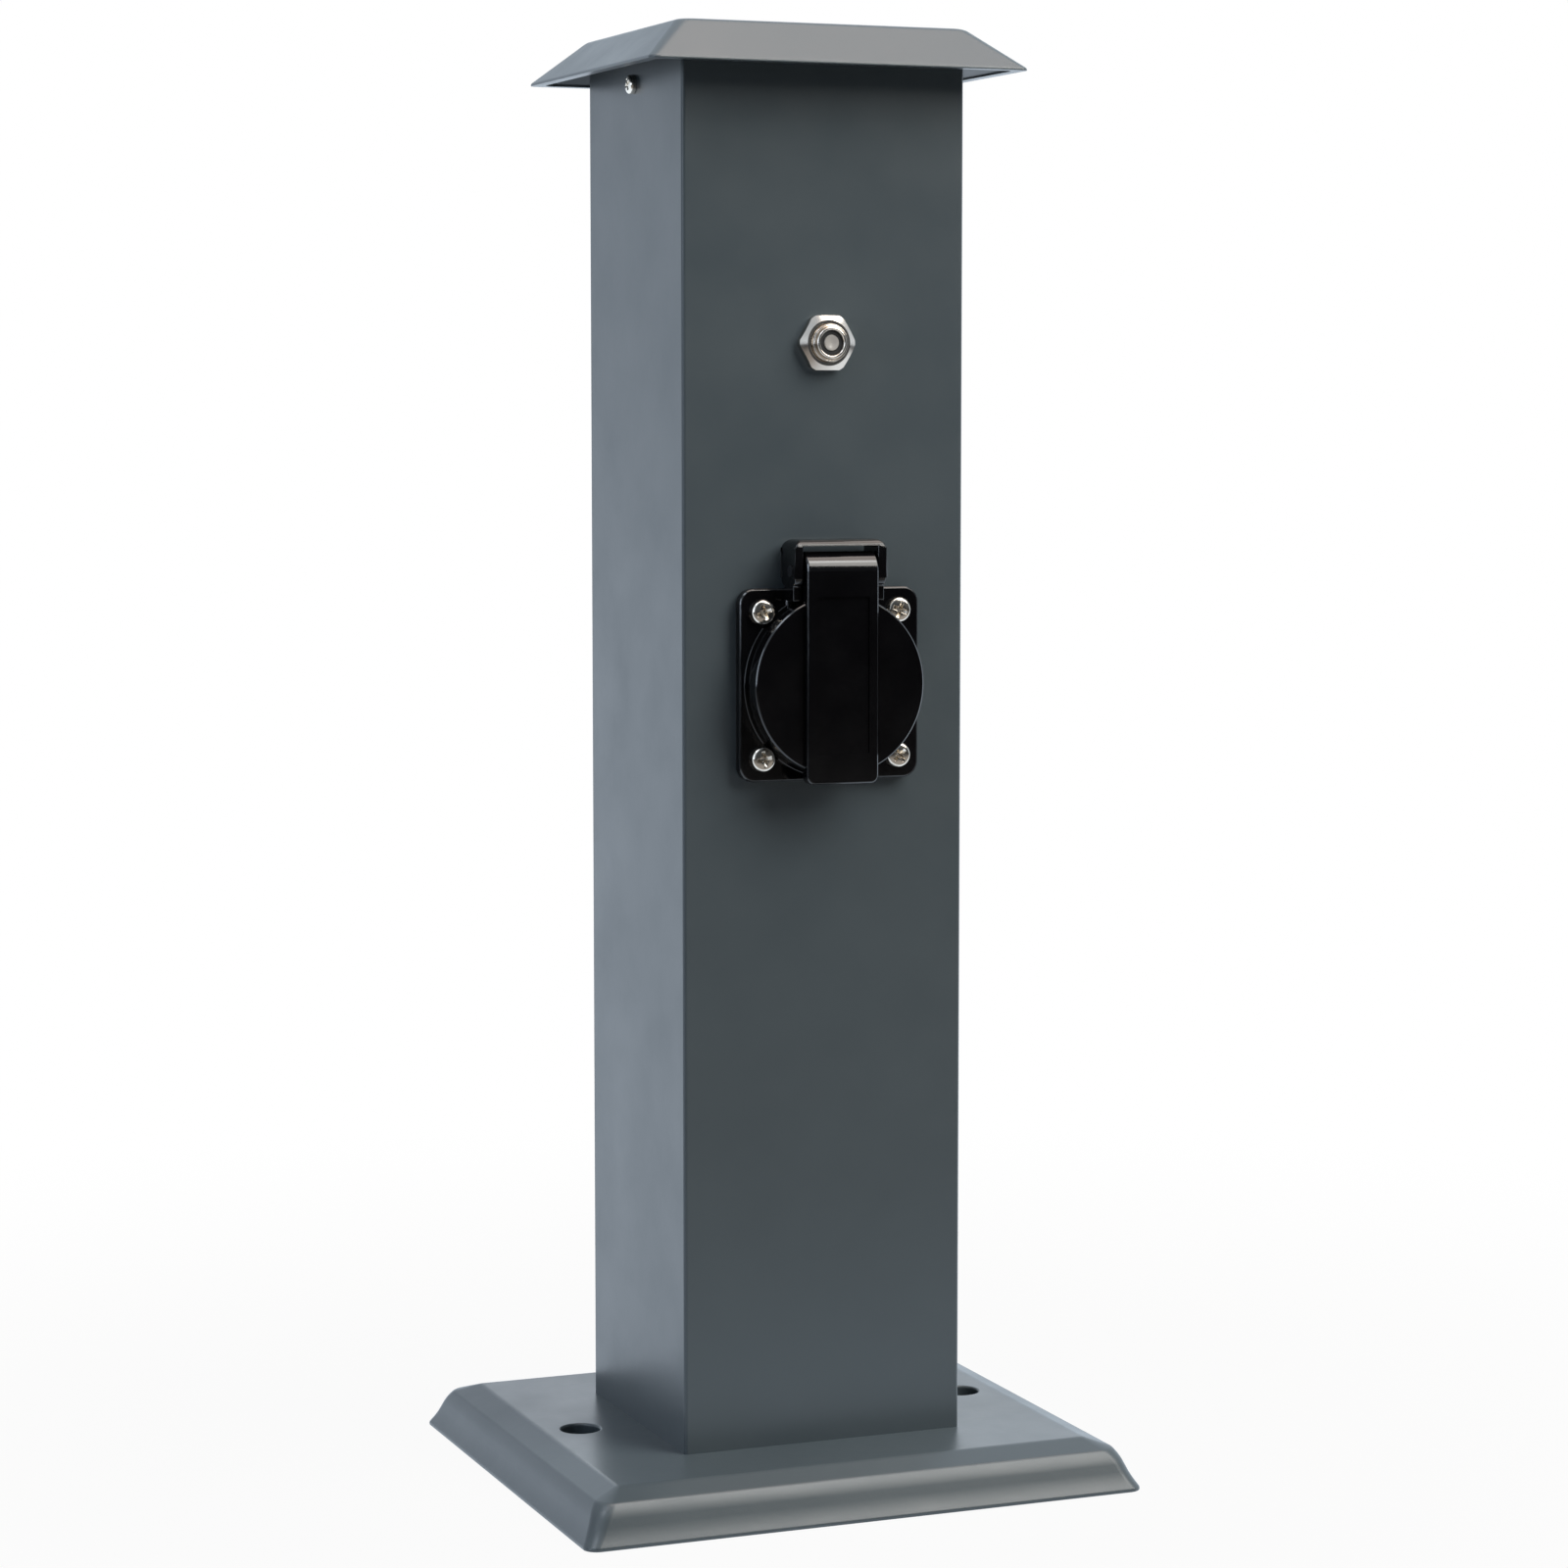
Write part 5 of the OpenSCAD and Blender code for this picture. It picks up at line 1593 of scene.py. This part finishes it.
@dataclass
class Studio:
    """The photograph's camera, a pale floor, soft lamps and a white background.

    The eye, the aim and the drop are in millimetres, and what lies on the floor is in metres.
    """

    eye: tuple[float, float, float] = (-392.7, -986.6, 284.9)
    heading: float = 21.86
    pitch: float = -5.375
    focal_px: float = 4032.4
    frame_px: float = 1600.0
    sensor: float = 36.0
    aim_h: float = 200.0
    floor_half: float = 9.0
    floor_drop: float = 0.2
    floor_colour: str = "#929292"
    # The floor shows this share of plain white near the object, and all of it further out
    white_share: float = 0.95
    white_near: float = 0.12
    white_far: float = 0.55
    # Where the floor goes from dark to lit, as gloss sees it, from front to back
    unlit_front: float = -0.4
    lit_back: float = -0.05
    mirror: float = 1.65
    wall: float = 1.28
    wall_top: float = 1.0
    wall_tint: str = "#E4F1FF"
    # How far up the wall its light goes from its lower level to its upper one, as a share of straight up
    rise_low: float = 0.05
    rise_high: float = 0.45
    # Where the room goes dark, as a share of straight towards the dark side
    dark: float = 0.06
    dark_side: tuple[float, float, float] = (0.37, -0.93, 0.0)
    dark_from: float = 0.35
    dark_full: float = 0.8
    # Name, azimuth, elevation, distance, width, height, level and tint
    lamps: tuple[Softbox, ...] = (
        Softbox("key", 44, 38, 1.6, 1.0, 1.0, 7.0, "#FFFCF6"),
        Softbox("strip", 28, 60, 1.5, 0.35, 0.8, 4.0, "#FFFFFF"),
        Softbox("top", 60, 77, 1.3, 1.0, 1.0, 3.2, "#FFEBDC"),
        Softbox("left", -71, 14, 1.6, 0.22, 0.9, 6.0, "#DDEBFF"),
        Softbox("corner", -62, 56, 1.5, 0.5, 0.4, 5.0, "#EAF2FF"),
        Softbox("back", 158, 15, 1.6, 0.6, 0.3, 1.2, "#FFFFFF"),
    )

    def build(self) -> None:
        """Add the camera, the lamps, the floor and the world."""
        self.build_camera()
        target = Vector((0, 0, self.aim_h * MM))
        for lamp in self.lamps:
            lamp.build(target)
        self.build_floor()
        self.build_world()
        bpy.context.scene.view_settings.view_transform = "Standard"

    def build_camera(self) -> None:
        """Add the camera at the photograph's place, with its lens."""
        lens = bpy.data.cameras.new("camera")
        lens.sensor_width = self.sensor
        lens.lens = self.focal_px * self.sensor / self.frame_px
        camera = bpy.data.objects.new("camera", lens)
        camera.location = Vector(self.eye) * MM
        camera.rotation_euler = Euler((math.radians(90 + self.pitch), 0, -math.radians(self.heading)))
        bpy.context.scene.collection.objects.link(camera)
        bpy.context.scene.camera = camera

    def build_floor(self) -> None:
        """Add the floor: pale where the shadow falls, and white further out."""
        mesh = bmesh.new()
        half = self.floor_half
        mesh.faces.new([mesh.verts.new((sx * half, sy * half, -self.floor_drop * MM))
                        for sx, sy in ((-1, -1), (1, -1), (1, 1), (-1, 1))])
        data = bpy.data.meshes.new("floor")
        mesh.to_mesh(data)
        mesh.free()
        floor = bpy.data.objects.new("floor", data)
        bpy.context.scene.collection.objects.link(floor)
        data.materials.append(self.floor_material())

    def floor_material(self) -> bpy.types.Material:
        """Make the floor's material.

        Returns:
            A matt paper that rays from the camera and from gloss see as white, apart from the shadow.
        """
        made = bpy.data.materials.new("paper_sweep_matt")
        made.use_nodes = True
        tree = made.node_tree
        tree.nodes.clear()
        path = add_node(tree, "ShaderNodeLightPath")
        place = add_node(tree, "ShaderNodeTexCoord").outputs["Object"]
        reach = add_node(tree, "ShaderNodeVectorMath", {0: place}, operation="LENGTH").outputs["Value"]
        # The paper keeps a part of its own light, and with it the shadow, near the object
        white = add_node(tree, "ShaderNodeMapRange", {
            "Value": reach, "From Min": self.white_near, "From Max": self.white_far,
            "To Min": self.white_share, "To Max": 1.0}, interpolation_type="SMOOTHSTEP").outputs["Result"]
        seen = add_node(tree, "ShaderNodeMath", {
            0: path.outputs[Ray.CAMERA.value], 1: path.outputs[Ray.TRANSMISSION.value]},
            operation="MAXIMUM").outputs[0]
        # Gloss sees the paper go dark towards the front, where the studio isn't lit
        ahead = add_node(tree, "ShaderNodeSeparateXYZ", {0: place}).outputs["Y"]
        lit = add_node(tree, "ShaderNodeMapRange", {
            "Value": ahead, "From Min": self.unlit_front, "From Max": self.lit_back},
            interpolation_type="SMOOTHSTEP").outputs["Result"]
        glossy = add_node(tree, "ShaderNodeMath", {
            0: path.outputs[Ray.GLOSSY.value], 1: lit}, operation="MULTIPLY").outputs[0]
        shown = add_node(tree, "ShaderNodeMath", {0: seen, 1: glossy}, operation="MAXIMUM").outputs[0]
        factor = add_node(tree, "ShaderNodeMath", {0: shown, 1: white}, operation="MULTIPLY").outputs[0]
        colour = add_node(tree, "ShaderNodeMix", {
            MIX_FACTOR: path.outputs[Ray.CAMERA.value], MIX_A: scaled(self.wall_tint, self.mirror),
            MIX_B: WHITE}, data_type="RGBA").outputs[MIX_RESULT]
        paper = add_node(tree, "ShaderNodeBsdfDiffuse", {"Color": linear(self.floor_colour)})
        glow = add_node(tree, "ShaderNodeEmission", {"Color": colour, "Strength": 1.0})
        mix = add_node(tree, "ShaderNodeMixShader", {
            0: factor, 1: paper.outputs["BSDF"], 2: glow.outputs["Emission"]})
        add_node(tree, "ShaderNodeOutputMaterial", {"Surface": mix.outputs["Shader"]})
        return made

    def build_world(self) -> None:
        """Add the world: white to the camera, a lit wall to gloss, and dark to matt surfaces."""
        world = bpy.data.worlds.new("studio")
        world.use_nodes = True
        bpy.context.scene.world = world
        tree = world.node_tree
        tree.nodes.clear()
        path = add_node(tree, "ShaderNodeLightPath")
        towards = add_node(tree, "ShaderNodeTexCoord").outputs["Generated"]
        # The room is dark on the camera's side, where the lid's flat face looks
        ahead = add_node(tree, "ShaderNodeVectorMath", {
            0: towards, 1: self.dark_side}, operation="DOT_PRODUCT").outputs["Value"]
        lit = add_node(tree, "ShaderNodeMapRange", {
            "Value": ahead, "From Min": self.dark_from, "From Max": self.dark_full,
            "To Min": 1.0, "To Max": self.dark}, interpolation_type="SMOOTHSTEP").outputs["Result"]
        up = add_node(tree, "ShaderNodeSeparateXYZ", {0: towards}).outputs["Z"]
        rise = add_node(tree, "ShaderNodeMapRange", {
            "Value": up, "From Min": self.rise_low, "From Max": self.rise_high},
            interpolation_type="SMOOTHSTEP").outputs["Result"]
        wall = add_node(tree, "ShaderNodeMix", {
            MIX_FACTOR: rise, MIX_A: scaled(self.wall_tint, self.wall),
            MIX_B: scaled(self.wall_tint, self.wall_top)}, data_type="RGBA").outputs[MIX_RESULT]
        shown = add_node(tree, "ShaderNodeVectorMath", {0: wall, "Scale": lit}, operation="SCALE").outputs[0]
        mirrored = add_node(tree, "ShaderNodeMath", {
            0: path.outputs[Ray.GLOSSY.value], 1: path.outputs[Ray.TRANSMISSION.value]},
            operation="MAXIMUM").outputs[0]
        light = add_node(tree, "ShaderNodeMix", {
            MIX_FACTOR: mirrored, MIX_A: BLACK, MIX_B: shown}, data_type="RGBA").outputs[MIX_RESULT]
        colour = add_node(tree, "ShaderNodeMix", {
            MIX_FACTOR: path.outputs[Ray.CAMERA.value], MIX_A: light, MIX_B: WHITE},
            data_type="RGBA").outputs[MIX_RESULT]
        sky = add_node(tree, "ShaderNodeBackground", {"Color": colour, "Strength": 1.0})
        add_node(tree, "ShaderNodeOutputWorld", {"Surface": sky.outputs["Background"]})


def main() -> None:
    """Load the frame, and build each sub-assembly on it."""
    logging.basicConfig(level=logging.INFO, format="%(name)s: %(message)s")
    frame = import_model()
    holes = next(m for m in frame["record"]["mounts"] if m["name"] == "floor_holes")["dims"]
    hinge = next(j for j in frame["joints"] if j["name"] == "lid_hinge")["pos_m"]
    axis_y = hinge[1] / MM
    axis_z = hinge[2] / MM
    Studio().build()
    Foot(holes["spacing_x_mm"], holes["hole_r_mm"]).build()
    Post().build()
    Cap().build()
    Socket(axis_y, axis_z).build()
    Lid(axis_y, axis_z).build()
    Breaker().build()
    Wiring().build()


if __name__ == "__main__":
    main()
